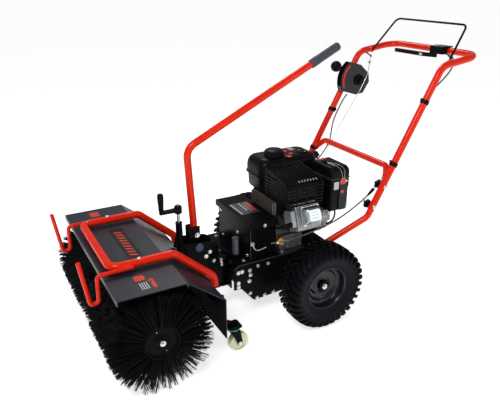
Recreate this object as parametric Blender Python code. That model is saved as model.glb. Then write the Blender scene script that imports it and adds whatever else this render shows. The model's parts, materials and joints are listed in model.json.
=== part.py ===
"""Walk-behind power sweeper: a two-wheeled tractor unit with a petrol engine and a steerable brush head.

Metres, +Z up. The model is laid out with the wheel axle over Y = 0, the brush towards -Y, the operator
towards +Y and the machine's left side at +X. At the end everything is moved so that the origin is the
middle of the footprint, on the floor.
"""

import math

import bmesh
import bpy
from mathutils import Matrix, Vector

# ---------------------------------------------------------------- driving dimensions
GAP = 0.0003  # clearance between touching pieces
FRAME_Y = 0.0563  # how far the finished model moves, so that the footprint's middle is at Y = 0

WHEEL_R = 0.165  # 13 x 5.00-6 pneumatic tyre
WHEEL_X = 0.285
TYRE_HALF = 0.057
RIM_R = 0.0868
AXLE_R = 0.0125

BRUSH_R = 0.179
BRUSH_Y = -0.66
BRUSH_END = 0.374
BRUSH_START = 0.047
CORE_R = 0.035

HOOD_HALF = 0.36
HOOD_SHEET = 0.003
HOOD_FRONT = -0.789
HOOD_TOP = 0.368
HOOD_RIDGE = -0.564
HOOD_REAR = -0.434
HOOD_BEND = 0.267
HOOD_LOW = 0.116

KING_Y = -0.285  # vertical axis on which the brush head steers
DECK_Z = 0.25
DECK_HALF = 0.15
DECK_FRONT = -0.283
DECK_BACK = 0.13
PLATE = 0.004

BOX_HALF = 0.135
BOX_FRONT = -0.222
BOX_BACK = -0.118
BOX_TOP = 0.392

CRANK_X = 0.04
CRANK_Z = 0.35
HEAD_TILT = math.radians(22)

TUBE_R = 0.0135
HANDLE_X = 0.245
HANDLE_FOOT = (0.247, 0.399)  # Y and Z where the upper handle meets the lower tubes
HANDLE_KNEE = (0.541, 0.930)
HANDLE_REAR = (0.735, 0.957)

GUARD_R = 0.0145
GUARD_X = 0.19
GUARD_Z = 0.387
HOOK_R = 0.007

JACK = (0.06, -0.472)
CASTER_X = 0.29
CASTER_Y = -0.377
CASTER_R = 0.037
CASTER_TRAIL = 0.018

LEVER_PIVOT = (-0.385, 0.346)  # Y and Z of the swing lever's pivot bolt
BAIL_PIVOT = (0.595, 0.9375)
SELECTOR = (0.512, 0.812)
SELECTOR_X = (-0.2295, -0.2025)
HAND_PIVOT = (0.045, 0.702)

ROUND = 24  # sides of a turned piece
TUBE_SIDES = 12
TYRE_SIDES = 32
BRUSH_SIDES = 36
CASTER_SIDES = 20

for old in list(bpy.data.objects):
    bpy.data.objects.remove(old)


# ---------------------------------------------------------------- materials
def paint(name, colour, roughness, metallic=0.0):
    """A plain Principled material."""
    material = bpy.data.materials.new(name)
    material.use_nodes = True
    shader = material.node_tree.nodes["Principled BSDF"]
    shader.inputs["Base Color"].default_value = (*colour, 1.0)
    shader.inputs["Roughness"].default_value = roughness
    shader.inputs["Metallic"].default_value = metallic
    return material


COLOURS = {
    "red_paint": ((0.72, 0.045, 0.015), 0.35, 0.0),
    "grey_paint": ((0.075, 0.082, 0.10), 0.5, 0.1),
    "black_paint": ((0.018, 0.018, 0.02), 0.45, 0.1),
    "zinc": ((0.62, 0.64, 0.66), 0.35, 0.9),
    "alloy": ((0.5, 0.5, 0.49), 0.45, 0.8),
    "bright_cover": ((0.62, 0.68, 0.70), 0.3, 0.7),
    "black_plastic": ((0.02, 0.02, 0.022), 0.55, 0.0),
    "grip_rubber": ((0.05, 0.052, 0.06), 0.8, 0.0),
    "tyre_rubber": ((0.028, 0.028, 0.031), 0.85, 0.0),
    "rim_paint": ((0.075, 0.08, 0.10), 0.4, 0.3),
    "bristle": ((0.012, 0.012, 0.013), 0.6, 0.0),
    "caster_nylon": ((0.78, 0.79, 0.55), 0.5, 0.0),
    "oil_cap": ((0.85, 0.36, 0.03), 0.45, 0.0),
}
FINISH = {name: paint(name, *values) for name, values in COLOURS.items()}


# ---------------------------------------------------------------- shape helpers
def new_object(name, bm):
    """Link a bmesh as an object, with its faces pointing out."""
    bmesh.ops.recalc_face_normals(bm, faces=bm.faces)
    mesh = bpy.data.meshes.new(name)
    bm.to_mesh(mesh)
    bm.free()
    piece = bpy.data.objects.new(name, mesh)
    bpy.context.scene.collection.objects.link(piece)
    return piece


def placed(axis, along, across):
    """A point from its distance along an axis and its two other coordinates in X, Y, Z order."""
    point = list(across)
    point.insert("XYZ".index(axis), along)
    return Vector(point)


def prism(name, outline, axis, low, high):
    """Extrude a flat outline along an axis. The outline holds the two other coordinates."""
    bm = bmesh.new()
    base = [bm.verts.new(placed(axis, low, p)) for p in outline]
    face = bm.faces.new(base)
    shift = placed(axis, high - low, (0.0, 0.0))
    made = bmesh.ops.extrude_face_region(bm, geom=[face])["geom"]
    moved = [v for v in made if isinstance(v, bmesh.types.BMVert)]
    bmesh.ops.translate(bm, vec=shift, verts=moved)
    return new_object(name, bm)


def block(name, low, high):
    """A box between two corners."""
    outline = [(low[0], low[1]), (high[0], low[1]), (high[0], high[1]), (low[0], high[1])]
    return prism(name, outline, "Z", low[2], high[2])


def turned(name, profile, axis, centre, sides=ROUND, closed=False):
    """Revolve (radius, along) points about an axis through centre. closed makes a ring."""
    bm = bmesh.new()
    turn = {"X": Matrix.Rotation(math.pi / 2, 3, "Y"), "Y": Matrix.Rotation(-math.pi / 2, 3, "X")}
    swing = turn.get(axis, Matrix.Identity(3))
    rings = []
    for radius, along in profile:
        if radius < 1e-6:
            rings.append([bm.verts.new(swing @ Vector((0, 0, along)))] * sides)
            continue
        angles = [2 * math.pi * (i + 0.5) / sides for i in range(sides)]
        ring = [Vector((radius * math.cos(a), radius * math.sin(a), along)) for a in angles]
        rings.append([bm.verts.new(swing @ p) for p in ring])
    pairs = list(zip(rings, rings[1:]))
    if closed:
        pairs.append((rings[-1], rings[0]))
    for first, second in pairs:
        for i in range(sides):
            j = (i + 1) % sides
            corners = dict.fromkeys((first[i], first[j], second[j], second[i]))
            bm.faces.new(list(corners))
    bmesh.ops.translate(bm, vec=Vector(centre), verts=bm.verts)
    return new_object(name, bm)


def rod(name, axis, centre, low, high, radius, sides=ROUND):
    """A plain round bar between two coordinates along an axis."""
    start = list(centre)
    start["XYZ".index(axis)] = 0.0
    return turned(name, [(0, low), (radius, low), (radius, high), (0, high)], axis, start, sides)


def rounded(points, bends, steps=4):
    """The points of a path whose inner corners are arcs of the bend radius, or of one radius each."""
    points = [Vector(p) for p in points]
    if not isinstance(bends, list):
        bends = [bends] * (len(points) - 2)
    path = [points[0]]
    for before, corner, after, bend in zip(points, points[1:], points[2:], bends):
        into = (before - corner).normalized()
        away = (after - corner).normalized()
        half = into.angle(away) / 2
        reach = bend / math.tan(half)
        centre = corner + (into + away).normalized() * (bend / math.sin(half))
        start = corner + into * reach - centre
        end = corner + away * reach - centre
        sweep = start.angle(end)
        for i in range(steps + 1):
            t = i / steps
            weights = math.sin((1 - t) * sweep), math.sin(t * sweep)
            path.append(centre + (start * weights[0] + end * weights[1]) / math.sin(sweep))
    path.append(points[-1])
    return path


def smooth_route(points, count):
    """Points at even steps along a spline that passes through the route's own points."""
    knots = [Vector(p) for p in points]
    knots = [2 * knots[0] - knots[1], *knots, 2 * knots[-1] - knots[-2]]
    spans = len(knots) - 3
    route = []
    for i in range(count):
        place = i / (count - 1) * spans
        k = min(int(place), spans - 1)
        t = place - k
        a, b, c, d = knots[k : k + 4]
        curve = 2 * b + (c - a) * t + (2 * a - 5 * b + 4 * c - d) * t**2 + (3 * (b - c) + d - a) * t**3
        route.append(curve / 2)
    return route


def tube(name, path, radius, sides=TUBE_SIDES):
    """Sweep a round section along a path, with flat ends."""
    bm = bmesh.new()
    path = [Vector(p) for p in path]
    tangents = [(b - a).normalized() for a, b in zip(path, path[1:])]
    along = [tangents[0]]
    along += [(a + b).normalized() for a, b in zip(tangents, tangents[1:])]
    along.append(tangents[-1])
    side = along[0].orthogonal().normalized()
    rings = []
    for point, ahead in zip(path, along):
        side = (side - ahead * side.dot(ahead)).normalized()
        up = ahead.cross(side)
        angles = [2 * math.pi * i / sides for i in range(sides)]
        spread = [side * math.cos(a) + up * math.sin(a) for a in angles]
        rings.append([bm.verts.new(point + radius * s) for s in spread])
    for first, second in zip(rings, rings[1:]):
        for i in range(sides):
            j = (i + 1) % sides
            bm.faces.new((first[i], first[j], second[j], second[i]))
    bm.faces.new(rings[0])
    bm.faces.new(rings[-1])
    return new_object(name, bm)


def combine(target, operation, others):
    """Union or cut other pieces into target, and remove them."""
    for other in others:
        step = target.modifiers.new("combine", "BOOLEAN")
        step.operation = operation
        step.solver = "EXACT"
        step.object = other
    graph = bpy.context.evaluated_depsgraph_get()
    graph.update()
    mesh = bpy.data.meshes.new_from_object(target.evaluated_get(graph))
    target.modifiers.clear()
    target.data = mesh
    for other in others:
        bpy.data.objects.remove(other)
    return target


def fuse(target, *others):
    """Weld pieces into one solid."""
    return combine(target, "UNION", others)


def carve(target, *cutters):
    """Cut pieces out of a solid."""
    return combine(target, "DIFFERENCE", cutters)


def arc(centre, radius, start, end, steps):
    """Points on an arc in a plane, with the angles in degrees."""
    angles = [math.radians(start + (end - start) * i / steps) for i in range(steps + 1)]
    return [(centre[0] + radius * math.cos(a), centre[1] + radius * math.sin(a)) for a in angles]


def round_box(low, high, radius, steps=3):
    """The outline of a rectangle with round corners."""
    inner = (low[0] + radius, low[1] + radius), (high[0] - radius, high[1] - radius)
    corners = (inner[1], (inner[0][0], inner[1][1]), inner[0], (inner[1][0], inner[0][1]))
    outline = []
    for quarter, centre in enumerate(corners):
        outline += arc(centre, radius, 90 * quarter, 90 * quarter + 90, steps)
    return outline


def flat_radius(radius, sides):
    """Corner radius of a polygon whose flats lie at the radius."""
    return radius / math.cos(math.pi / sides)


def thick_line(points, thickness):
    """The outline of a folded sheet: its outer face follows the points, its inner face is to their left."""
    points = [Vector(p) for p in points]
    normals = []
    for a, b in zip(points, points[1:]):
        run = (b - a).normalized()
        normals.append(Vector((-run.y, run.x)))
    inner = [points[0] + normals[0] * thickness]
    for point, n, m in zip(points[1:], normals, normals[1:]):
        mitre = (n + m).normalized()
        inner.append(point + mitre * (thickness / mitre.dot(n)))
    inner.append(points[-1] + normals[-1] * thickness)
    return [tuple(p) for p in points] + [tuple(p) for p in reversed(inner)]


def mirrored(points):
    """A path's points with X turned over."""
    return [(-x, y, z) for x, y, z in points]


# ---------------------------------------------------------------- the joint tree
def pivot(name, place, parent=None):
    """An empty on a joint's axis, which carries the pieces that move with it."""
    empty = bpy.data.objects.new(name, None)
    bpy.context.scene.collection.objects.link(empty)
    empty.location = place
    if parent:
        attach(empty, parent)
    return empty


def attach(piece, parent):
    """Parent a piece and leave it where it is."""
    bpy.context.view_layer.update()
    piece.parent = parent
    piece.matrix_parent_inverse = parent.matrix_world.inverted()


def finish(piece, parent, colour, crease=35):
    """Give a piece its material, smooth shading and parent."""
    piece.data.materials.clear()
    piece.data.materials.append(FINISH[colour])
    piece.data.shade_smooth()
    piece.data.set_sharp_from_angle(angle=math.radians(crease))
    attach(piece, parent)
    return piece


def soften(piece, width, segments=2):
    """Round the edges of a boxy piece."""
    bevel = piece.modifiers.new("soft edges", "BEVEL")
    bevel.width = width
    bevel.segments = segments
    bevel.limit_method = "ANGLE"
    bevel.angle_limit = math.radians(40)
    return piece


# ---------------------------------------------------------------- chassis
def chassis_frame():
    """Deck and side plates, the kingpin with its two lugs, and the swing lock's post."""
    deck = block("chassis_frame", (-DECK_HALF, DECK_FRONT, DECK_Z - PLATE), (DECK_HALF, DECK_BACK, DECK_Z))
    outline = [
        (DECK_FRONT, DECK_Z),
        (-0.30, DECK_Z - 0.015),
        (-0.30, 0.15),
        (-0.19, 0.15),
        (-0.06, 0.128),
        (0.05, 0.128),
        (DECK_BACK, 0.19),
        (DECK_BACK, DECK_Z),
    ]
    parts = []
    for side in (-1, 1):
        faces = sorted((side * DECK_HALF, side * (DECK_HALF - PLATE)))
        parts.append(prism("side_plate", outline, "X", *faces))
    inner = DECK_HALF - PLATE / 2
    parts.append(block("front_plate", (-inner, -0.2665, 0.15), (inner, -0.2625, DECK_Z - PLATE / 2)))
    parts.append(block("lug_plate", (-0.055, -0.2665, 0.10), (0.055, -0.2625, 0.16)))
    lug = [(0.024, -0.264), *arc((0.0, KING_Y), 0.024, 0, -180, 8), (-0.024, -0.264)]
    parts.append(prism("upper_lug", lug, "Z", 0.230, 0.238))
    parts.append(prism("lower_lug", lug, "Z", 0.100, 0.108))
    parts.append(rod("kingpin", "Z", (0, KING_Y, 0), 0.094, 0.243, 0.008))
    parts.append(rod("lock_post", "Z", (0.088, -0.2605, 0), DECK_Z - PLATE / 2, 0.335, 0.0115, 16))
    frame = fuse(deck, *parts)
    hole = rod("axle_hole", "X", (0, 0, WHEEL_R), -0.2, 0.2, 0.0155)
    return carve(frame, hole)


def gearcase():
    """Transmission case under the deck, with the axle at its back."""
    outline = [
        (-0.262, DECK_Z - PLATE - 0.003),
        (-0.262, 0.135),
        (-0.185, 0.044),
        (-0.02, 0.054),
        *arc((0.0, WHEEL_R), 0.07, -50, 45, 5),
        (0.04, DECK_Z - PLATE - 0.003),
    ]
    return soften(prism("gearcase", outline, "X", -0.10, 0.10), 0.005, 1)


def belt_housing():
    """Sheet box over the two belt pulleys, open at the top and bottom, with the shaft's hole."""
    shell = block("belt_housing", (-BOX_HALF, BOX_FRONT, DECK_Z + GAP), (BOX_HALF, BOX_BACK, BOX_TOP))
    wall = 0.003
    room = block(
        "room",
        (-BOX_HALF + wall, BOX_FRONT + wall, DECK_Z - 0.01),
        (BOX_HALF - wall, BOX_BACK - wall, BOX_TOP + 0.01),
    )
    hole = rod("shaft_hole", "Y", (CRANK_X, 0, CRANK_Z), BOX_BACK - 0.01, BOX_BACK + 0.01, 0.03)
    return carve(shell, room, hole)


def belt_housing_lid():
    """Lid with a folded lip that laps over the box on all sides."""
    lap = 0.010
    corner_low = (-BOX_HALF - lap, BOX_FRONT - lap, BOX_TOP - 0.012)
    corner_high = (BOX_HALF + lap, BOX_BACK + lap - 0.001, BOX_TOP + 0.011)
    lid = block("belt_housing_lid", corner_low, corner_high)
    room_low = (-BOX_HALF - GAP * 10, BOX_FRONT - GAP * 10, BOX_TOP - 0.02)
    room_high = (BOX_HALF + GAP * 10, BOX_BACK + GAP * 10, BOX_TOP + GAP)
    return carve(lid, block("room", room_low, room_high))


def housing_latch():
    """Bent wire catch on the side of the belt housing."""
    x = BOX_HALF + 0.006
    path = [(x, -0.214, 0.318), (x, -0.207, 0.300), (x, -0.190, 0.289), (x, -0.160, 0.294)]
    wire = tube("housing_latch", smooth_route(path, 9), 0.0025, 8)
    head = rod("latch_pin", "X", (0, -0.214, 0.318), BOX_HALF + GAP, BOX_HALF + 0.012, 0.006, 12)
    return fuse(wire, head)


DRIVEN = (-0.07, 0.32)  # X and Z of the driven pulley
PULLEY_Y = -0.175


def pulley_profile(radius, groove, shaft, back, front):
    """A grooved pulley on its shaft, as (radius, along) points from end to end."""
    half = 0.015
    return [
        (0, back),
        (shaft, back),
        (shaft, PULLEY_Y - half),
        (radius, PULLEY_Y - half),
        (radius, PULLEY_Y - half + 0.004),
        (groove, PULLEY_Y - 0.007),
        (groove, PULLEY_Y + 0.007),
        (radius, PULLEY_Y + half - 0.004),
        (radius, PULLEY_Y + half),
        (shaft, PULLEY_Y + half),
        (shaft, front),
        (0, front),
    ]


def driven_pulley():
    """Pulley and shaft that take the belt's drive down to the gears."""
    profile = pulley_profile(0.047, 0.038, 0.008, BOX_FRONT + 0.0035, BOX_BACK - 0.0035)
    return turned("driven_pulley", profile, "Y", (DRIVEN[0], 0, DRIVEN[1]))


def crankshaft():
    """Engine shaft with its belt pulley at the front and the flywheel at the back."""
    profile = pulley_profile(0.038, 0.029, 0.0125, BOX_FRONT + 0.008, 0.062)[:-2]
    profile += [(0.0125, 0.060), (0.065, 0.060), (0.065, 0.085), (0.0125, 0.085), (0.0125, 0.10), (0, 0.10)]
    return turned("crankshaft", profile, "Y", (CRANK_X, 0, CRANK_Z))


def drive_belt():
    """Vee belt stretched round both pulleys."""
    start, end = Vector((CRANK_X, CRANK_Z)), Vector(DRIVEN)
    run = end - start
    heading = math.degrees(math.atan2(run.y, run.x))

    def loop(first, second):
        touch = math.degrees(math.acos((first - second) / run.length))
        near = arc(start, first, heading + touch, heading + 360 - touch, 10)
        far = arc(end, second, heading - touch, heading + touch, 10)
        return near + far

    band = prism("drive_belt", loop(0.037, 0.046), "Y", PULLEY_Y - 0.0055, PULLEY_Y + 0.0055)
    inside = prism("inside", loop(0.0298, 0.0390), "Y", PULLEY_Y - 0.02, PULLEY_Y + 0.02)
    return carve(band, inside)


# ---------------------------------------------------------------- engine
def tilted(along, across):
    """A point of the engine's section, along and across its sloping cylinder."""
    d = Vector((math.cos(HEAD_TILT), math.sin(HEAD_TILT)))
    n = Vector((-d.y, d.x))
    return tuple(Vector((CRANK_X, CRANK_Z)) + d * along + n * across)


def crankcase():
    """Cast block with the shaft's bore and the face that carries the cylinder."""
    outline = [
        (-0.04, DECK_Z + GAP),
        (0.118, DECK_Z + GAP),
        tilted(0.078, -0.052),
        tilted(0.078, 0.052),
        (-0.02, 0.43),
        (-0.04, 0.40),
    ]
    case = prism("crankcase", outline, "Y", -0.108, 0.052)
    bore = rod("bore", "Y", (CRANK_X, 0, CRANK_Z), -0.2, 0.2, 0.0129)
    return carve(case, bore)


def tilted_block(name, start, end, half, low, high):
    """A block square to the sloping cylinder."""
    outline = [tilted(start, -half), tilted(end, -half), tilted(end, half), tilted(start, half)]
    return prism(name, outline, "Y", low, high)


def cylinder_head():
    """Cylinder with its cooling fins, as one finned block."""
    core = tilted_block("cylinder_head", 0.078 + GAP, 0.152, 0.043, -0.040, 0.048)
    fins = []
    for i in range(6):
        start = 0.083 + 0.012 * i
        fins.append(tilted_block("fin", start, start + 0.004, 0.052, -0.048, 0.057))
    return fuse(core, *fins)


def valve_cover():
    """Pressed cover with sloping shoulders over the valves."""
    low, high = -0.032, 0.048
    base = tilted_block("valve_cover", 0.152 + GAP, 0.178, 0.036, low, high)
    cap = tilted_block("cap", 0.170, 0.195, 0.029, low + 0.006, high - 0.006)
    return soften(fuse(base, cap), 0.004, 2)


def muffler():
    """Exhaust box above the cylinder."""
    body = prism("muffler", round_box((0.082, 0.480), (0.195, 0.540), 0.018), "Y", -0.103, 0.018)
    return fuse(body, rod("pipe", "Z", (0.135, -0.03, 0), 0.458, 0.485, 0.012, 16))


def muffler_guard():
    """Sheet guard over the exhaust, open underneath."""
    outline = [(0.058, 0.466), (0.212, 0.466), (0.212, 0.548), (0.200, 0.561), (0.058, 0.578)]
    shell = prism("muffler_guard", outline, "Y", -0.118, 0.043)
    room = [(0.061, 0.45), (0.209, 0.45), (0.209, 0.547), (0.199, 0.558), (0.061, 0.575)]
    return carve(shell, prism("room", room, "Y", -0.115, 0.040))


FILLER = (-0.002, -0.044)


def fuel_tank():
    """Pressed tank in two halves with a seam flange, on two legs, open at its filler neck."""

    def layer(name, inset, corner, low, high):
        plan = round_box((-0.100 + inset, -0.126 + inset), (0.052 - inset, 0.138 - inset), corner)
        return prism(name, plan, "Z", low, high)

    tank = layer("fuel_tank", 0.006, 0.034, 0.468, 0.531)
    parts = [layer("flange", -0.003, 0.043, 0.5305, 0.5345)]
    parts.append(layer("upper", 0.0, 0.040, 0.534, 0.586))
    parts.append(layer("crown", 0.008, 0.034, 0.580, 0.600))
    for x in (-0.015, 0.025):
        parts.append(block("leg", (x, -0.080, 0.4305), (x + 0.020, -0.020, 0.470)))
    tank = fuse(tank, *parts)
    neck = rod("neck", "Z", (*FILLER, 0), 0.585, 0.61, 0.018)
    return carve(tank, layer("room", 0.010, 0.030, 0.472, 0.595), neck)


def fuel_cap():
    """Screw cap over the filler neck."""
    profile = [(0, 0.6005), (0.034, 0.6005), (0.038, 0.604), (0.038, 0.620), (0.033, 0.626), (0, 0.627)]
    return turned("fuel_cap", profile, "Z", (*FILLER, 0), 20)


def air_cleaner():
    """Air cleaner case with its cover, overhanging the fan cowl at the top."""
    outline = [
        (0.108, 0.414),
        (0.209, 0.414),
        *arc((0.191, 0.566), 0.022, 0, 90, 4),
        (0.068, 0.588),
        (0.068, 0.475),
        (0.108, 0.475),
    ]
    return soften(prism("air_cleaner", outline, "Y", 0.079, 0.163), 0.006, 2)


def carburettor():
    """Carburettor body with its float bowl."""
    body = block("carburettor", (0.122, 0.060, 0.360), (0.172, 0.118, 0.408))
    bowl = rod("bowl", "Z", (0.147, 0.090, 0), 0.328, 0.365, 0.020, 16)
    return fuse(body, bowl)


def choke_lever():
    """Small choke lever on the carburettor's outer face."""
    pin = rod("choke_lever", "X", (0, 0.098, 0.392), 0.172 + GAP, 0.181, 0.004, 12)
    arm = block("arm", (0.176, 0.094, 0.392), (0.1795, 0.102, 0.409))
    tab = block("tab", (0.176, 0.094, 0.404), (0.190, 0.102, 0.4075))
    return fuse(pin, arm, tab)


COWL = (0.025, 0.352)  # X and Z of the fan housing's middle
PULL = (0.050, 0.400)  # X and Z of the starter's pull grip


def fan_cowl():
    """Fan housing with the recoil starter's dome, open towards the flywheel."""
    profile = [(0, 0.0), (0.0935, 0.0), (0.0935, 0.090), (0.088, 0.098), (0.072, 0.098), (0.062, 0.118)]
    profile.append((0, 0.118))
    cowl = turned("fan_cowl", profile, "Y", (COWL[0], 0.052 + GAP, COWL[1]))
    return carve(cowl, rod("room", "Y", (COWL[0], 0, COWL[1]), 0.04, 0.145, 0.0895))


def recoil_grip():
    """Pull handle of the recoil starter, with its stem."""
    x, z = PULL
    plan = round_box((x - 0.030, 0.188), (x + 0.030, 0.204), 0.006, 4)
    bar = prism("recoil_grip", plan, "Z", z - 0.008, z + 0.008)
    return fuse(bar, rod("stem", "Y", (x, 0, z), 0.1708, 0.195, 0.007, 12))


def dipstick():
    """Screw-in oil filler cap with a grip bar, on the side of the crankcase."""
    cap = rod("dipstick", "X", (0, -0.090, 0.300), 0.1305, 0.140, 0.0125, 16)
    bar = block("bar", (0.139, -0.0935, 0.290), (0.148, -0.0865, 0.310))
    return fuse(cap, bar)


def engine_switch():
    """Rocker that stops the engine, beside the recoil starter."""
    return soften(block("engine_switch", (-0.058, 0.1525, 0.317), (-0.046, 0.1605, 0.332)), 0.0015, 1)


# ---------------------------------------------------------------- wheels
def tyre(side):
    """Hollow tyre, open towards the rim."""
    half = TYRE_HALF
    outer = [(0.0873, -0.040), (0.098, -0.048), (0.128, -half), (0.150, -0.054), (0.1615, -0.043)]
    crown = [(flat_radius(WHEEL_R, TYRE_SIDES), -0.022)]
    shell = outer + crown + [(r, -x) for r, x in reversed(outer + crown)]
    inner = [(0.0873, 0.034), (0.102, 0.038), (0.128, 0.046), (0.150, 0.040), (0.150, -0.040)]
    inner += [(0.128, -0.046), (0.102, -0.038), (0.0873, -0.034)]
    centre = (side * WHEEL_X, 0, WHEEL_R)
    name = "tyre_left" if side > 0 else "tyre_right"
    return turned(name, shell + inner, "X", centre, TYRE_SIDES, closed=True)


def rim(side):
    """Pressed disc wheel with its hub, half shaft and end bolt."""
    inboard = 0.1003 - WHEEL_X
    face = [(0, 0.042), (0.0095, 0.042), (0.0095, 0.034), (0.021, 0.034), (0.021, 0.0), (0.030, -0.005)]
    face += [(0.060, -0.003), (0.069, 0.014), (0.077, 0.017), (0.079, 0.036), (0.085, 0.043)]
    edge = [(RIM_R, 0.040), (RIM_R, -0.040), (0.085, -0.043), (0.079, -0.036), (0.074, -0.010)]
    back = [(0.030, -0.010), (0.022, -0.014), (0.022, -0.035), (AXLE_R, -0.035)]
    back += [(AXLE_R, inboard), (0, inboard)]
    name = "rim_left" if side > 0 else "rim_right"
    profile = [(r, side * x) for r, x in face + edge + back]
    return turned(name, profile, "X", (side * WHEEL_X, 0, WHEEL_R))


# ---------------------------------------------------------------- handles and controls
def handle_line(distance):
    """A point on the left arm of the handle, from its foot upwards."""
    foot = Vector((HANDLE_X, *HANDLE_FOOT))
    knee = Vector((HANDLE_X, *HANDLE_KNEE))
    return foot + (knee - foot).normalized() * distance


def lower_handle(side):
    """Tube from the side of the frame up to the handle, with the spigot the handle slips over."""
    run = [handle_line(-0.0006), handle_line(-0.026), (0.1635, 0.035, 0.238), (0.1635, -0.055, 0.214)]
    spigot = [handle_line(-0.015), handle_line(0.118)]
    if side < 0:
        run = mirrored(run)
        spigot = mirrored(spigot)
    name = "handle_lower_left" if side > 0 else "handle_lower_right"
    return fuse(tube(name, rounded(run, 0.05), 0.0125), tube("spigot", spigot, 0.0092, 12))


def handle_upper():
    """U-shaped handle with its welded cross brace, bored for the two lower tubes."""
    left = [(HANDLE_X, *HANDLE_FOOT), (HANDLE_X, *HANDLE_KNEE), (HANDLE_X, *HANDLE_REAR)]
    loop = tube("handle_upper", rounded(left + mirrored(left)[::-1], 0.062, 6), TUBE_R)
    end = [(0.240, 0.316, 0.519), (0.205, 0.345, 0.557)]
    brace = tube("brace", rounded(end + mirrored(end)[::-1], 0.03), 0.0125)
    bore = [handle_line(-0.01), handle_line(0.122)]
    return carve(fuse(loop, brace), tube("bore", bore, 0.0100, 12), tube("bore", mirrored(bore), 0.0100, 12))


def bail():
    """Dead-man bail: a bent rod hinged inside the two arms of the handle."""
    y, z = BAIL_PIVOT
    end = HANDLE_X - TUBE_R - 0.001
    left = [(end, y, z), (end - 0.009, y, z), (0.195, 0.700, 1.068)]
    return tube("bail", rounded(left + mirrored(left)[::-1], [0.004, 0.025, 0.025, 0.004]), 0.004, 10)


def clutch_bracket():
    """Clamp plate that holds the hand lever in front of the cross tube."""
    y, z = HANDLE_REAR
    outline = [(0.690, z - 0.012), (y - 0.0145, z - 0.012), (y - 0.0145, z + 0.0142)]
    outline += [(0.752, z + 0.0142), (0.752, z + 0.0185), (0.690, z + 0.0185)]
    return soften(prism("clutch_bracket", outline, "X", 0.025, 0.095), 0.0015, 1)


def clutch_lever():
    """Hand lever, squeezed towards the cross tube."""
    low, high = 0.935, 0.9445
    outline = [(0.052, 0.694), (0.052, 0.710), (0.040, 0.711), (0.0, 0.697), (-0.19, 0.690)]
    outline += [(-0.19, 0.678), (0.0, 0.681), (0.030, 0.692)]
    return soften(prism("clutch_lever", outline, "Z", low, high), 0.002, 2)


def selector_housing():
    """Gear selector's shield-shaped case: two plates joined along their back, open along the arc."""
    y, z = SELECTOR
    case = arc((y, z), 0.098, 123, 205, 6)
    case += [(0.500, 0.748), (0.540, 0.752), (0.572, 0.800), (0.566, 0.838), (0.520, 0.878)]
    low, high = SELECTOR_X
    room = arc((y, z), 0.125, 114, 190, 4) + [(y + 0.012, z - 0.014), (y + 0.016, z + 0.012)]
    return carve(
        prism("selector_housing", case, "X", low, high),
        prism("room", room, "X", low + 0.003, high - 0.003),
    )


def selector_lever():
    """Flat lever between the plates, with a ball knob."""
    y, z = SELECTOR
    x = sum(SELECTOR_X) / 2
    hub = Vector((y, z))
    reach = Vector((-0.114, 0.064)).normalized()
    wide = Vector((-reach.y, reach.x)) * 0.006
    tip = hub + reach * 0.120
    arm = prism("selector_lever", [hub + wide, tip + wide, tip - wide, hub - wide], "X", x - 0.002, x + 0.002)
    boss = rod("boss", "X", (0, y, z), x - 0.009, x + 0.009, 0.009, 16)
    latitudes = [math.radians(-90 + 22.5 * i) for i in range(9)]
    profile = [(0.020 * math.cos(a), 0.020 * math.sin(a)) for a in latitudes]
    ball = turned("ball", profile, "Z", (x, *(hub + reach * 0.131)), 16)
    return fuse(arm, boss, ball)


def selector_knob():
    """Round friction knob on the selector's pivot."""
    low = SELECTOR_X[1] + GAP
    profile = [(0, low), (0.020, low), (0.020, low + 0.006), (0.014, low + 0.009), (0.012, low + 0.022)]
    profile.append((0, low + 0.024))
    return turned("selector_knob", profile, "X", (0, *SELECTOR), 16)


def star_knob(name, side, y, z):
    """Hand knob on the inner end of a handle bolt."""
    near = HANDLE_X - TUBE_R - GAP * 2
    lobes = 5
    outline = []
    for i in range(lobes * 4):
        angle = 2 * math.pi * i / (lobes * 4)
        radius = 0.018 if i % 4 in (0, 1) else 0.0145
        outline.append((y + radius * math.cos(angle), z + radius * math.sin(angle)))
    faces = sorted((side * (near - 0.008), side * (near - 0.024)))
    knob = prism(name, outline, "X", *faces)
    ends = sorted((side * near, side * (near - 0.010)))
    return fuse(knob, rod("boss", "X", (0, y, z), *ends, 0.009, 12))


def clutch_cable():
    """Cable from the hand lever down the left arm to the belt housing."""
    route = [
        (0.100, 0.712, 0.948),
        (0.160, 0.690, 0.930),
        (0.215, 0.610, 0.895),
        (0.2225, 0.490, 0.800),
        (0.2225, 0.410, 0.655),
        (0.208, 0.378, 0.575),
        (0.202, 0.366, 0.545),
        (0.198, 0.330, 0.500),
        (0.197, 0.285, 0.455),
        (0.202, 0.215, 0.415),
        (0.207, 0.120, 0.376),
        (0.203, 0.020, 0.350),
        (0.182, -0.070, 0.324),
        (0.155, -0.115, 0.310),
        (0.1385, -0.135, 0.304),
    ]
    return tube("clutch_cable", smooth_route(route, 40), 0.003, 6)


def selector_cable():
    """Cable from the gear selector down the right arm to the gearcase."""
    route = [
        (-0.216, 0.462, 0.752),
        (-0.2225, 0.440, 0.715),
        (-0.221, 0.400, 0.640),
        (-0.208, 0.378, 0.575),
        (-0.202, 0.366, 0.545),
        (-0.198, 0.330, 0.500),
        (-0.197, 0.285, 0.455),
        (-0.188, 0.220, 0.375),
        (-0.150, 0.172, 0.285),
        (-0.110, 0.145, 0.222),
        (-0.082, 0.110, 0.188),
        (-0.060, 0.075, 0.180),
    ]
    return tube("selector_cable", smooth_route(route, 36), 0.003, 6)


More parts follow.
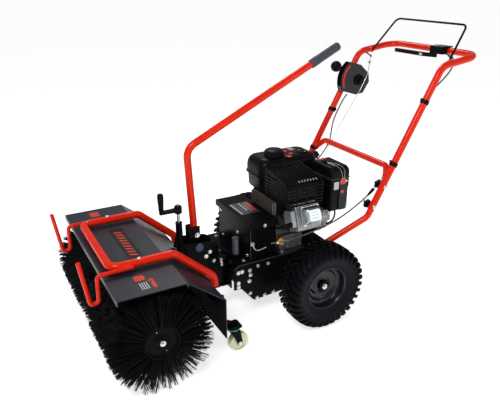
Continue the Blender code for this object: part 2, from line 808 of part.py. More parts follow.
def bail_cable():
    """Thin drive cable from the bail's right end straight down to the frame."""
    route = [
        (-0.206, 0.574, 0.912),
        (-0.172, 0.520, 0.812),
        (-0.190, 0.400, 0.600),
        (-0.185, 0.300, 0.430),
        (-0.120, 0.195, 0.275),
        (-0.085, 0.134, 0.232),
    ]
    return tube("bail_cable", smooth_route(route, 18), 0.0014, 6)


# ---------------------------------------------------------------- brush head
def hood_slope(y):
    """Height of the sloping rear sheet's outer face."""
    return HOOD_BEND + (HOOD_REAR - y) * (HOOD_TOP - HOOD_BEND) / (HOOD_REAR - HOOD_RIDGE)


def hood():
    """Folded sheet cover over the brush, with holes for the jack, the drive and the caster arms."""
    fold = [
        (HOOD_REAR, HOOD_LOW),
        (HOOD_REAR, HOOD_BEND),
        (HOOD_RIDGE, HOOD_TOP),
        (HOOD_FRONT, HOOD_TOP),
        (HOOD_FRONT, HOOD_TOP - 0.018),
    ]
    sheet = prism("hood", thick_line(fold, HOOD_SHEET), "X", -HOOD_HALF, HOOD_HALF)
    cuts = [rod("jack_hole", "Z", (*JACK, 0), 0.25, 0.35, 0.0125, 16)]
    cuts.append(rod("drive_hole", "Y", (0, 0, BRUSH_R), -0.46, -0.40, 0.026))
    for side in (-1, 1):
        x = side * CASTER_X
        cuts.append(block("slot", (x - 0.010, -0.45, 0.199), (x + 0.010, -0.42, 0.262)))
    return carve(sheet, *cuts)


def swivel_head():
    """Welded head: gussets, mounting plate, kingpin tube, stop plate and the lever's channel."""
    back = HOOD_REAR + GAP * 5
    outline = [(-0.308, 0.111), (-0.308, 0.250), *arc((-0.348, 0.278), 0.040, 10, 90, 4)]
    outline += [(-0.452, 0.332), (-0.462, hood_slope(-0.462) + 0.002)]
    outline += [(back, HOOD_BEND + 0.0015), (back, 0.111)]
    plate = block("swivel_head", (-0.09, back, 0.120), (0.09, back + PLATE, 0.255))
    parts = []
    for side in (-1, 1):
        faces = sorted((side * 0.037, side * 0.041))
        parts.append(prism("gusset", outline, "X", *faces))
    parts.append(block("web", (-0.039, -0.335, 0.130), (0.039, -0.300, 0.215)))
    ring = [(0.0082, 0.1085), (0.0175, 0.1085), (0.0175, 0.2295), (0.0082, 0.2295)]
    king = turned("king_tube", ring, "Z", (0, KING_Y, 0), closed=True)
    stop = arc((0, KING_Y), 0.078, 15, -195, 16) + arc((0, KING_Y), 0.030, -165, -15, 10)
    parts.append(prism("stop_plate", stop, "Z", 0.2555, 0.2595))
    parts.append(block("channel", (-0.0180, -0.418, 0.236), (0.0180, -0.374, 0.382)))
    parts.append(block("channel_foot", (-0.039, -0.418, 0.236), (0.039, -0.402, 0.250)))
    head = fuse(plate, king, *parts)
    y, z = LEVER_PIVOT
    room = block("lever_room", (-0.0150, -0.4155, 0.262), (0.0150, -0.36, 0.40))
    bore = rod("pivot_bore", "X", (0, y, z), -0.03, 0.03, 0.0053, 16)
    king_bore = rod("king_bore", "Z", (0, KING_Y, 0), 0.10, 0.27, 0.0082)
    drive_bore = rod("drive_bore", "Y", (0, 0, BRUSH_R), -0.45, -0.4275, 0.026)
    return carve(head, room, bore, king_bore, drive_bore)


def guard_frame():
    """Bent guard tube over the hood, with two J-shaped hooks welded to its sides."""
    side_line = [(-0.398, 0.225), (-0.402, 0.262), (-0.545, GUARD_Z), (-0.758, GUARD_Z)]
    leg = [(GUARD_X, y, z) for y, z in side_line]
    path = rounded(leg + mirrored(leg)[::-1], 0.034)
    frame = tube("guard_frame", path, GUARD_R)
    hooks = []
    x = GUARD_X + GUARD_R + HOOK_R - 0.002
    hook_line = [(-0.690, 0.385), (-0.806, 0.383), (-0.8085, 0.290), (-0.8355, 0.286), (-0.858, 0.442)]
    bent = rounded([(x, y, z) for y, z in hook_line], 0.0125)
    feet = []
    for points, side in ((bent, 1), (mirrored(bent), -1)):
        hooks.append(tube("hook", points, HOOK_R, 8))
        x = side * GUARD_X
        face = HOOD_REAR + 0.0005
        feet.append(block("shelf", (x - 0.014, face, 0.224), (x + 0.014, -0.395, 0.230)))
        feet.append(block("pad", (x - 0.014, face, 0.196), (x + 0.014, face + PLATE, 0.230)))
    return fuse(frame, *hooks, *feet)


def brush_gearbox():
    """Right-angle drive between the brush halves, with its drive tube to the head."""
    case = prism("brush_gearbox", arc((BRUSH_Y, BRUSH_R), 0.060, 22.5, 337.5, 7), "X", -0.030, 0.030)
    neck = rod("neck", "Y", (0, 0, BRUSH_R), BRUSH_Y + 0.03, -0.336, 0.022)
    bore = rod("bore", "X", (0, BRUSH_Y, BRUSH_R), -0.1, 0.1, 0.0127)
    return carve(fuse(case, neck), bore)


def brush_shaft():
    """Shaft through the gearbox with the two brush drums and their end discs."""
    half = [(0.0125, 0.032), (CORE_R, 0.036), (CORE_R, 0.350), (0.0575, 0.350), (0.0575, 0.357)]
    half += [(0.020, 0.357), (0.020, 0.364), (0.008, 0.364), (0.008, 0.370), (0, 0.370)]
    profile = [(r, -x) for r, x in reversed(half)] + half
    return turned("brush_shaft", profile, "X", (0, BRUSH_Y, BRUSH_R))


def bristles(side):
    """Envelope of one brush half's bristles, recessed round the end disc."""
    inner = CORE_R + GAP
    outer = flat_radius(BRUSH_R, BRUSH_SIDES)
    ring = [(outer, BRUSH_START), (outer, BRUSH_END), (0.062, BRUSH_END), (0.062, 0.3495)]
    ring += [(inner, 0.3495), (inner, BRUSH_START)]
    name = "bristles_left" if side > 0 else "bristles_right"
    profile = [(r, side * x) for r, x in ring]
    return turned(name, profile, "X", (0, BRUSH_Y, BRUSH_R), BRUSH_SIDES, closed=True)


def jack_tube():
    """Outer tube of the height jack, standing in the hood's sloping sheet."""
    ring = [(0.0075, 0.275), (0.0115, 0.275), (0.0115, 0.436), (0.0075, 0.436)]
    return turned("jack_tube", ring, "Z", (*JACK, 0), 16, closed=True)


def crank():
    """Height screw with its hub, arm and grip pin."""
    profile = [(0, 0.206), (0.006, 0.206), (0.006, 0.470), (0.011, 0.470), (0.011, 0.499), (0, 0.502)]
    screw = turned("crank", profile, "Z", (*JACK, 0), 16)
    x, y = JACK
    arm = block("arm", (x - 0.006, y - 0.0695, 0.480), (x + 0.006, y, 0.489))
    pin = rod("pin", "Z", (x, y - 0.062, 0), 0.485, 0.551, 0.004, 12)
    return fuse(screw, arm, pin)


def crank_grip():
    """Free-spinning sleeve on the crank's pin."""
    ring = [(0.0044, 0.4895), (0.0085, 0.4895), (0.0098, 0.500), (0.0098, 0.548), (0.0080, 0.553)]
    ring.append((0.0044, 0.553))
    return turned("crank_grip", ring, "Z", (JACK[0], JACK[1] - 0.062, 0), 16, closed=True)


def caster_lift_bar():
    """Bar with the screw's nut, and an arm with a plate over each caster."""
    bar = block("caster_lift_bar", (-0.300, -0.459, 0.226), (0.300, -0.447, 0.238))
    parts = [rod("nut", "Z", (*JACK, 0), 0.228, 0.246, 0.0098, 12)]
    parts.append(block("nut_web", (JACK[0] - 0.007, JACK[1], 0.228), (JACK[0] + 0.007, -0.450, 0.238)))
    for side in (-1, 1):
        x = side * CASTER_X
        leg = [(-0.450, 0.222), (-0.4275, 0.222), (-0.4275, 0.109), (-0.362, 0.109), (-0.366, 0.118)]
        leg += [(-0.412, 0.142), (-0.412, 0.242), (-0.450, 0.242)]
        parts.append(prism("leg", leg, "X", x - 0.005, x + 0.005))
        top = round_box((x - 0.026, CASTER_Y - 0.026), (x + 0.026, CASTER_Y + 0.026), 0.008)
        parts.append(prism("top_plate", top, "Z", 0.1065, 0.1105))
    lift = fuse(bar, *parts)
    return carve(lift, rod("thread", "Z", (*JACK, 0), 0.2, 0.3, 0.0065, 16))


def caster_fork(side):
    """Swivel race, fork and axle pin of a support wheel."""
    x = side * CASTER_X
    y = CASTER_Y
    name = "caster_fork_left" if side > 0 else "caster_fork_right"
    profile = [(0, 0.090), (0.019, 0.090), (0.023, 0.095), (0.023, 0.102), (0.016, 0.1062), (0, 0.1062)]
    race = turned(name, profile, "Z", (x, y, 0), 20)
    parts = [block("crown", (x - 0.019, y - 0.015, 0.084), (x + 0.019, y + 0.020, 0.092))]
    wheel_y = y + CASTER_TRAIL
    leg = [(y - 0.014, 0.091), (y + 0.020, 0.091), (wheel_y + 0.010, CASTER_R), (wheel_y, CASTER_R - 0.010)]
    leg.append((wheel_y - 0.010, CASTER_R))
    for hand in (-1, 1):
        faces = sorted((x + hand * 0.0160, x + hand * 0.0190))
        parts.append(prism("leg", leg, "X", *faces))
    parts.append(rod("pin", "X", (0, wheel_y, CASTER_R), x - 0.023, x + 0.023, 0.004, 12))
    return fuse(race, *parts)


def caster_wheel(side):
    """Nylon support wheel."""
    edge = flat_radius(CASTER_R, CASTER_SIDES)
    ring = [(0.0043, -0.014), (0.012, -0.014), (0.014, -0.012), (0.033, -0.012), (edge, -0.009)]
    ring += [(r, -a) for r, a in reversed(ring)]
    centre = (side * CASTER_X, CASTER_Y + CASTER_TRAIL, CASTER_R)
    name = "caster_wheel_left" if side > 0 else "caster_wheel_right"
    return turned(name, ring, "X", centre, CASTER_SIDES, closed=True)


LEVER_CORNER = Vector((0, -0.406, 0.680))
LEVER_END = Vector((0, 0.135, 0.9475))


def swing_lever():
    """Long lever that frees the swing lock and steers the head, with its pivot bolt."""
    y, z = LEVER_PIVOT
    route = [(0, -0.392, 0.290), (0, -0.392, 0.400), LEVER_CORNER, LEVER_END]
    lever = tube("swing_lever", rounded(route, 0.055), TUBE_R)
    bolt = rod("bolt", "X", (0, y, z), -0.0245, 0.0245, 0.005, 16)
    heads = []
    for side in (-1, 1):
        ends = sorted((side * 0.0185, side * 0.0245))
        heads.append(rod("head", "X", (0, y, z), *ends, 0.0085, 12))
    return fuse(lever, bolt, *heads)


def lever_grip():
    """Rubber grip on the end of the swing lever."""
    run = (LEVER_END - LEVER_CORNER).normalized()
    first = LEVER_END + run * GAP
    return tube("lever_grip", [first, first + run * 0.112], 0.0165, 16)


# ---------------------------------------------------------------- assembly
root = pivot("sweeper", (0, 0, 0))

FIXED = {
    "grey_paint": (chassis_frame, gearcase, belt_housing, belt_housing_lid, muffler_guard),
    "black_paint": (crankcase, muffler, clutch_bracket, fuel_tank),
    "alloy": (cylinder_head, carburettor),
    "bright_cover": (valve_cover,),
    "black_plastic": (air_cleaner, fan_cowl, selector_housing, clutch_cable, selector_cable),
    "grip_rubber": (drive_belt,),
    "zinc": (bail_cable,),
    "red_paint": (handle_upper,),
}
for colour, makers in FIXED.items():
    for make in makers:
        finish(make(), root, colour)
for side in (1, -1):
    finish(lower_handle(side), root, "red_paint")

# moving piece, its joint's place, its colour
TURNING = (
    (housing_latch, (BOX_HALF, -0.214, 0.318), "zinc"),
    (driven_pulley, (DRIVEN[0], PULLEY_Y, DRIVEN[1]), "alloy"),
    (crankshaft, (CRANK_X, PULLEY_Y, CRANK_Z), "alloy"),
    (fuel_cap, (*FILLER, 0.6005), "black_plastic"),
    (choke_lever, (0.176, 0.098, 0.392), "zinc"),
    (recoil_grip, (PULL[0], 0.1708, PULL[1]), "black_plastic"),
    (dipstick, (0.1305, -0.090, 0.300), "oil_cap"),
    (engine_switch, (-0.052, 0.1525, 0.3245), "oil_cap"),
    (bail, (0, *BAIL_PIVOT), "black_paint"),
    (clutch_lever, (HAND_PIVOT[0], HAND_PIVOT[1], 0.940), "black_plastic"),
    (selector_lever, (sum(SELECTOR_X) / 2, *SELECTOR), "black_plastic"),
    (selector_knob, (SELECTOR_X[1], *SELECTOR), "black_plastic"),
)
for make, place, colour in TURNING:
    piece = make()
    finish(piece, pivot(piece.name + "_axis", place, root), colour)

for side, hand in ((1, "left"), (-1, "right")):
    axle = pivot(f"wheel_{hand}_axis", (side * WHEEL_X, 0, WHEEL_R), root)
    finish(tyre(side), axle, "tyre_rubber")
    finish(rim(side), axle, "rim_paint")
    for level, y, z in (("upper", 0.304, 0.491), ("lower", 0.257, 0.417)):
        name = f"star_knob_{level}_{hand}"
        bolt = pivot(name + "_axis", (side * HANDLE_X, y, z), root)
        finish(star_knob(name, side, y, z), bolt, "black_plastic")

head = pivot("head_axis", (0, KING_Y, 0.17), root)
finish(swivel_head(), head, "grey_paint")
finish(hood(), head, "grey_paint")
finish(guard_frame(), head, "red_paint")
finish(brush_gearbox(), head, "alloy")
finish(jack_tube(), head, "black_paint")

spin = pivot("brush_axis", (0, BRUSH_Y, BRUSH_R), head)
finish(brush_shaft(), spin, "black_paint")
for side in (1, -1):
    finish(bristles(side), spin, "bristle")

lever_axis = pivot("swing_lever_axis", (0, *LEVER_PIVOT), head)
finish(swing_lever(), lever_axis, "red_paint")
finish(lever_grip(), lever_axis, "grip_rubber")

screw = pivot("crank_axis", (*JACK, 0.480), head)
finish(crank(), screw, "zinc")
grip_axis = pivot("crank_grip_axis", (JACK[0], JACK[1] - 0.062, 0.489), screw)
finish(crank_grip(), grip_axis, "black_plastic")

lift = pivot("caster_lift_axis", (*JACK, 0.232), head)
finish(caster_lift_bar(), lift, "black_paint")
for side, hand in ((1, "left"), (-1, "right")):
    swivel = pivot(f"caster_{hand}_swivel", (side * CASTER_X, CASTER_Y, 0.100), lift)
    finish(caster_fork(side), swivel, "black_paint")
    hub = (side * CASTER_X, CASTER_Y + CASTER_TRAIL, CASTER_R)
    finish(caster_wheel(side), pivot(f"caster_{hand}_axle", hub, swivel), "caster_nylon")

root.location = (0, FRAME_Y, 0)
bpy.context.view_layer.update()
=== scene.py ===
"""Looks of the walk-behind power sweeper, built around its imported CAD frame.

Places are in metres with the wheel axle at Y = 0, as in the CAD's own layout, and are moved to the
frame when a piece is made. The brush is towards -Y, the operator towards +Y and the machine's left
is +X.
"""

import json
import math
import random
from collections import namedtuple

import bmesh
import bpy
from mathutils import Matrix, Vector


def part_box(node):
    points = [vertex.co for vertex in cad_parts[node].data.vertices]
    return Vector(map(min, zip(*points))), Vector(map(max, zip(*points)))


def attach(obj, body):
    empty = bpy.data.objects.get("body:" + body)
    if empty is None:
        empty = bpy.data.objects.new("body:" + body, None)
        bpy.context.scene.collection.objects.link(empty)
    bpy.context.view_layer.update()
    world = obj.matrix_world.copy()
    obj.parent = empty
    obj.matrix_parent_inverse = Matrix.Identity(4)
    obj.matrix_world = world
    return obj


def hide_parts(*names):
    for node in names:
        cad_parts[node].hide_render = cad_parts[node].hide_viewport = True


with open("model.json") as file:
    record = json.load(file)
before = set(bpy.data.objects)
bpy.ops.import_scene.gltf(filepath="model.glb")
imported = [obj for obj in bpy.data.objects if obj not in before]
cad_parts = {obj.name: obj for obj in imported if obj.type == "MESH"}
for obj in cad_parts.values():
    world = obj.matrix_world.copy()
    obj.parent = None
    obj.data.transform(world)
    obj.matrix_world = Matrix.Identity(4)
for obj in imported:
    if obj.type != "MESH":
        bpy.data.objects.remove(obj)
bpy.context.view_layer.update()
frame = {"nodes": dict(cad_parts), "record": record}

AXLE_LOW, AXLE_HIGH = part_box("rim_left")
FRAME_Y = (AXLE_LOW[1] + AXLE_HIGH[1]) / 2  # Y of the wheel axle in the frame
WHEEL_X = 0.285
WHEEL_Z = 0.165
BRUSH = (-0.66, 0.179)  # Y and Z of the brush's axis
BRUSH_R = 0.179
TUBE_R = 0.0135
HANDLE_X = 0.245
HANDLE_FOOT = (0.247, 0.399)
HANDLE_KNEE = (0.541, 0.930)
HANDLE_REAR = (0.735, 0.957)
GUARD_X = 0.19
GUARD_Z = 0.387
GUARD_R = 0.0145
HEAD_X = 0.0412  # outer face of the steering head's cheeks
PLATE_X = 0.1500  # outer face of the frame's side plates
JACK = (0.06, -0.472)
CRANK = (0.04, 0.35)  # X and Z of the engine's shaft
HEAD_TILT = math.radians(22)
COWL = (0.025, 0.352)
FILLER = (-0.002, -0.044)
SELECTOR = (0.512, 0.812)
CASTER = (0.29, -0.377)
TRAIL = 0.018
CASTER_Z = 0.037
HOOD_TOP = 0.368
HOOD_REAR = -0.4335  # outer face of the hood's rear sheet
DECK = 0.2501
LID_TOP = 0.4031
TANK_TOP = 0.5992
FILM = 0.0003  # thickness of a label or a printed mark
SIDES = ((1, "left"), (-1, "right"))
PRINT = (0.3684, 0.3687)  # heights of the marks' film over the hood's top
X, Y, Z = Vector((1, 0, 0)), Vector((0, 1, 0)), Vector((0, 0, 1))
HANDLE_UP = (Vector((0, *HANDLE_KNEE)) - Vector((0, *HANDLE_FOOT))).normalized()

Finish = namedtuple("Finish", "material slot")


# ---------------------------------------------------------------- materials
def surface(
    name, slot, colour, roughness, metallic=0.0, mottle=0.12, patch=18.0, grain=700.0, bump=0.08,
    specular=0.5, ior=1.5,
):
    """A procedural finish: slow colour and roughness drift, fine surface grain and faint scuffs."""
    material = bpy.data.materials.new(name)
    material.use_nodes = True
    nodes, links = material.node_tree.nodes, material.node_tree.links
    shader = nodes["Principled BSDF"]
    shader.inputs["Metallic"].default_value = metallic
    shader.inputs["Specular IOR Level"].default_value = specular
    shader.inputs["IOR"].default_value = ior
    place = nodes.new("ShaderNodeTexCoord").outputs["Object"]

    def noise(scale, detail, roughness_):
        node = nodes.new("ShaderNodeTexNoise")
        node.inputs["Scale"].default_value = scale
        node.inputs["Detail"].default_value = detail
        node.inputs["Roughness"].default_value = roughness_
        links.new(place, node.inputs["Vector"])
        return node.outputs["Fac"]

    def remap(source, low, high, start=0.3, end=0.7):
        node = nodes.new("ShaderNodeMapRange")
        for key, value in zip(
            ("From Min", "From Max", "To Min", "To Max"), (start, end, low, high)
        ):
            node.inputs[key].default_value = value
        links.new(source, node.inputs["Value"])
        return node.outputs["Result"]

    slow = noise(patch, 5.0, 0.6)
    ramp = nodes.new("ShaderNodeValToRGB")
    ramp.color_ramp.elements[0].position = 0.3
    ramp.color_ramp.elements[1].position = 0.7
    ramp.color_ramp.elements[0].color = (*[c * (1 - mottle) for c in colour], 1)
    ramp.color_ramp.elements[1].color = (*[c * (1 + mottle) for c in colour], 1)
    links.new(slow, ramp.inputs["Fac"])
    links.new(ramp.outputs["Color"], shader.inputs["Base Color"])
    scuff = noise(patch * 9, 8.0, 0.75)
    add = nodes.new("ShaderNodeMath")
    add.operation = "ADD"
    links.new(remap(slow, roughness - 0.05, roughness + 0.05), add.inputs[0])
    links.new(remap(scuff, 0.0, 0.14, 0.52, 0.75), add.inputs[1])
    links.new(add.outputs["Value"], shader.inputs["Roughness"])
    relief = nodes.new("ShaderNodeBump")
    relief.inputs["Strength"].default_value = bump
    relief.inputs["Distance"].default_value = 0.0006
    links.new(noise(grain, 3.0, 0.5), relief.inputs["Height"])
    links.new(relief.outputs["Normal"], shader.inputs["Normal"])
    return Finish(material, slot)


RED = surface(
    "red enamel", "red_paint", (0.76, 0.019, 0.002), 0.20, patch=9, grain=260, bump=0.05,
    specular=0.22,
)
HOOD = surface(
    "hood enamel", "grey_paint", (0.011, 0.014, 0.024), 0.40, grain=500, bump=0.04, specular=0.4
)
BLACK = surface(
    "black enamel", "black_paint", (0.004, 0.004, 0.005), 0.26, patch=12, grain=300, bump=0.02,
    specular=0.2, ior=1.2,
)
ZINC = surface("zinc plate", "zinc", (0.66, 0.68, 0.70), 0.28, 1.0, patch=60, grain=1800, bump=0.15)
ALLOY = surface(
    "cast alloy", "alloy", (0.40, 0.405, 0.415), 0.45, 0.5, mottle=0.15, patch=70, grain=1300,
    bump=0.4,
)
DARK_ALLOY = surface(
    "dark casting", "alloy", (0.040, 0.041, 0.045), 0.42, 0.4, mottle=0.3, patch=50, grain=1100,
    bump=0.45,
)
BRIGHT = surface(
    "bright cover", "bright_cover", (0.56, 0.64, 0.66), 0.27, 0.75, mottle=0.1, patch=80,
    grain=1500, bump=0.15,
)
PLASTIC = surface(
    "black moulding", "black_plastic", (0.004, 0.004, 0.005), 0.34, patch=25, grain=1500, bump=0.05,
    specular=0.25, ior=1.25,
)
SHEATH = surface(
    "cable sheath", "black_plastic", (0.085, 0.087, 0.09), 0.3, patch=50, grain=2000, bump=0.08
)
GRIP = surface(
    "grip rubber", "grip_rubber", (0.045, 0.048, 0.058), 0.66, patch=40, grain=1900, bump=0.35
)
TYRE = surface(
    "tyre rubber", "tyre_rubber", (0.004, 0.004, 0.005), 0.5, mottle=0.3, patch=30, grain=1500,
    specular=0.2, ior=1.2,
)
SIDEWALL = surface(
    "tyre sidewall", "tyre_rubber", (0.005, 0.006, 0.009), 0.5, patch=26, grain=1700, bump=0.2,
    specular=0.2, ior=1.3,
)
RIM = surface(
    "rim enamel", "rim_paint", (0.006, 0.007, 0.012), 0.27, patch=20, grain=700, bump=0.06,
    specular=0.4,
)
BRISTLE = surface(
    "bristle", "bristle", (0.004, 0.004, 0.004), 0.32, mottle=0.5, patch=120, grain=3000,
    specular=0.3, ior=1.25,
)
NYLON = surface(
    "caster nylon", "caster_nylon", (0.70, 0.72, 0.48), 0.38, patch=60, grain=1500, bump=0.1
)
ORANGE = surface(
    "orange moulding", "oil_cap", (0.86, 0.36, 0.02), 0.36, patch=90, grain=1800, bump=0.12
)
TAN = surface(
    "heat tinted fins", "alloy", (0.15, 0.14, 0.125), 0.40, 0.7, mottle=0.35, patch=120, grain=1500,
    bump=0.3,
)
LABEL = surface(
    "label grey", "grey_paint", (0.030, 0.033, 0.042), 0.3, patch=70, grain=900, bump=0.03
)
DECAL = surface(
    "decal black", "black_plastic", (0.004, 0.004, 0.005), 0.3, patch=40, grain=900, bump=0.02,
    specular=0.3,
)
INK = surface(
    "label white", "black_plastic", (0.62, 0.62, 0.62), 0.4, patch=90, grain=900, bump=0.02
)
PATCH = surface("label red", "red_paint", (0.62, 0.03, 0.015), 0.3, patch=80, grain=900, bump=0.02)
CASTING = surface(
    "engine casting", "alloy", (0.15, 0.152, 0.158), 0.45, 0.15, mottle=0.2, patch=60, grain=1200,
    bump=0.35,
)
# Near-black matt colour for a sheet of painted shade inside the brush cover
PAINTED_SHADE = surface(
    "underseal", "grey_paint", (0.005, 0.005, 0.006), 0.85, grain=900, bump=0.3, specular=0.05
)
# Pale grey used for painted highlights along dark edges, and for the lock post's trim
HIGHLIGHT_GREY = surface(
    "worn enamel edge", "grey_paint", (0.07, 0.074, 0.085), 0.25, patch=60, grain=600, bump=0.05
)
GREEN = surface(
    "green ring", "caster_nylon", (0.01, 0.33, 0.10), 0.35, patch=90, grain=900, bump=0.05
)
BLUED = surface(
    "blued strip", "grey_paint", (0.035, 0.05, 0.085), 0.3, 0.5, patch=60, grain=1100, bump=0.1
)
SILVER_TAPE = surface(
    "silver label", "black_plastic", (0.42, 0.43, 0.44), 0.32, 0.6, patch=60, grain=900, bump=0.05
)

SLOT_LOOK = {
    "red_paint": RED,
    "grey_paint": BLACK,
    "black_paint": BLACK,
    "zinc": ZINC,
    "alloy": ALLOY,
    "bright_cover": BRIGHT,
    "black_plastic": PLASTIC,
    "grip_rubber": GRIP,
    "tyre_rubber": TYRE,
    "rim_paint": RIM,
    "bristle": BRISTLE,
    "caster_nylon": NYLON,
    "oil_cap": ORANGE,
}


# ---------------------------------------------------------------- shape helpers
def rounded(points, bends, steps=12):
    """A path's points, with its inner corners as arcs of the bend radius, or of one radius each."""
    points = [Vector(p) for p in points]
    if not isinstance(bends, list):
        bends = [bends] * (len(points) - 2)
    path = [points[0]]
    for before, corner, after, bend in zip(points, points[1:], points[2:], bends):
        into = (before - corner).normalized()
        away = (after - corner).normalized()
        half = into.angle(away) / 2
        reach = bend / math.tan(half)
        centre = corner + (into + away).normalized() * (bend / math.sin(half))
        start = corner + into * reach - centre
        end = corner + away * reach - centre
        sweep = start.angle(end)
        for i in range(steps + 1):
            t = i / steps
            weights = math.sin((1 - t) * sweep), math.sin(t * sweep)
            path.append(centre + (start * weights[0] + end * weights[1]) / math.sin(sweep))
    path.append(points[-1])
    return path


def smooth_route(points, count):
    """Evenly spaced points on a spline through the route's own points."""
    knots = [Vector(p) for p in points]
    knots = [2 * knots[0] - knots[1], *knots, 2 * knots[-1] - knots[-2]]
    spans = len(knots) - 3
    route = []
    for i in range(count):
        place = i / (count - 1) * spans
        k = min(int(place), spans - 1)
        t = place - k
        a, b, c, d = knots[k : k + 4]
        square, cube = 2 * a - 5 * b + 4 * c - d, 3 * (b - c) + d - a
        route.append((2 * b + (c - a) * t + square * t**2 + cube * t**3) / 2)
    return route


def mirrored(points):
    """A path's points with X turned over."""
    return [(-p[0], p[1], p[2]) for p in points]


def arc(centre, radius, start, end, steps):
    """Points on an arc in a plane, with the angles in degrees."""
    angles = [math.radians(start + (end - start) * i / steps) for i in range(steps + 1)]
    return [(centre[0] + radius * math.cos(a), centre[1] + radius * math.sin(a)) for a in angles]


def round_box(low, high, radius, steps=6):
    """The outline of a rectangle with round corners."""
    inner = (low[0] + radius, low[1] + radius), (high[0] - radius, high[1] - radius)
    corners = (inner[1], (inner[0][0], inner[1][1]), inner[0], (inner[1][0], inner[0][1]))
    outline = []
    for quarter, centre in enumerate(corners):
        outline += arc(centre, radius, 90 * quarter, 90 * quarter + 90, steps)
    return outline


def tilted(along, across):
    """A point of the engine's section, along and across its sloping cylinder."""
    d = Vector((math.cos(HEAD_TILT), math.sin(HEAD_TILT)))
    n = Vector((-d.y, d.x))
    return tuple(Vector(CRANK) + d * along + n * across)


def lobed(centre, radius, wave, lobes, steps):
    """The outline of a round knob with shallow lobes."""
    outline = []
    for i in range(steps):
        angle = 2 * math.pi * i / steps
        reach = radius + wave * math.cos(lobes * angle)
        outline.append((centre[0] + reach * math.cos(angle), centre[1] + reach * math.sin(angle)))
    return outline


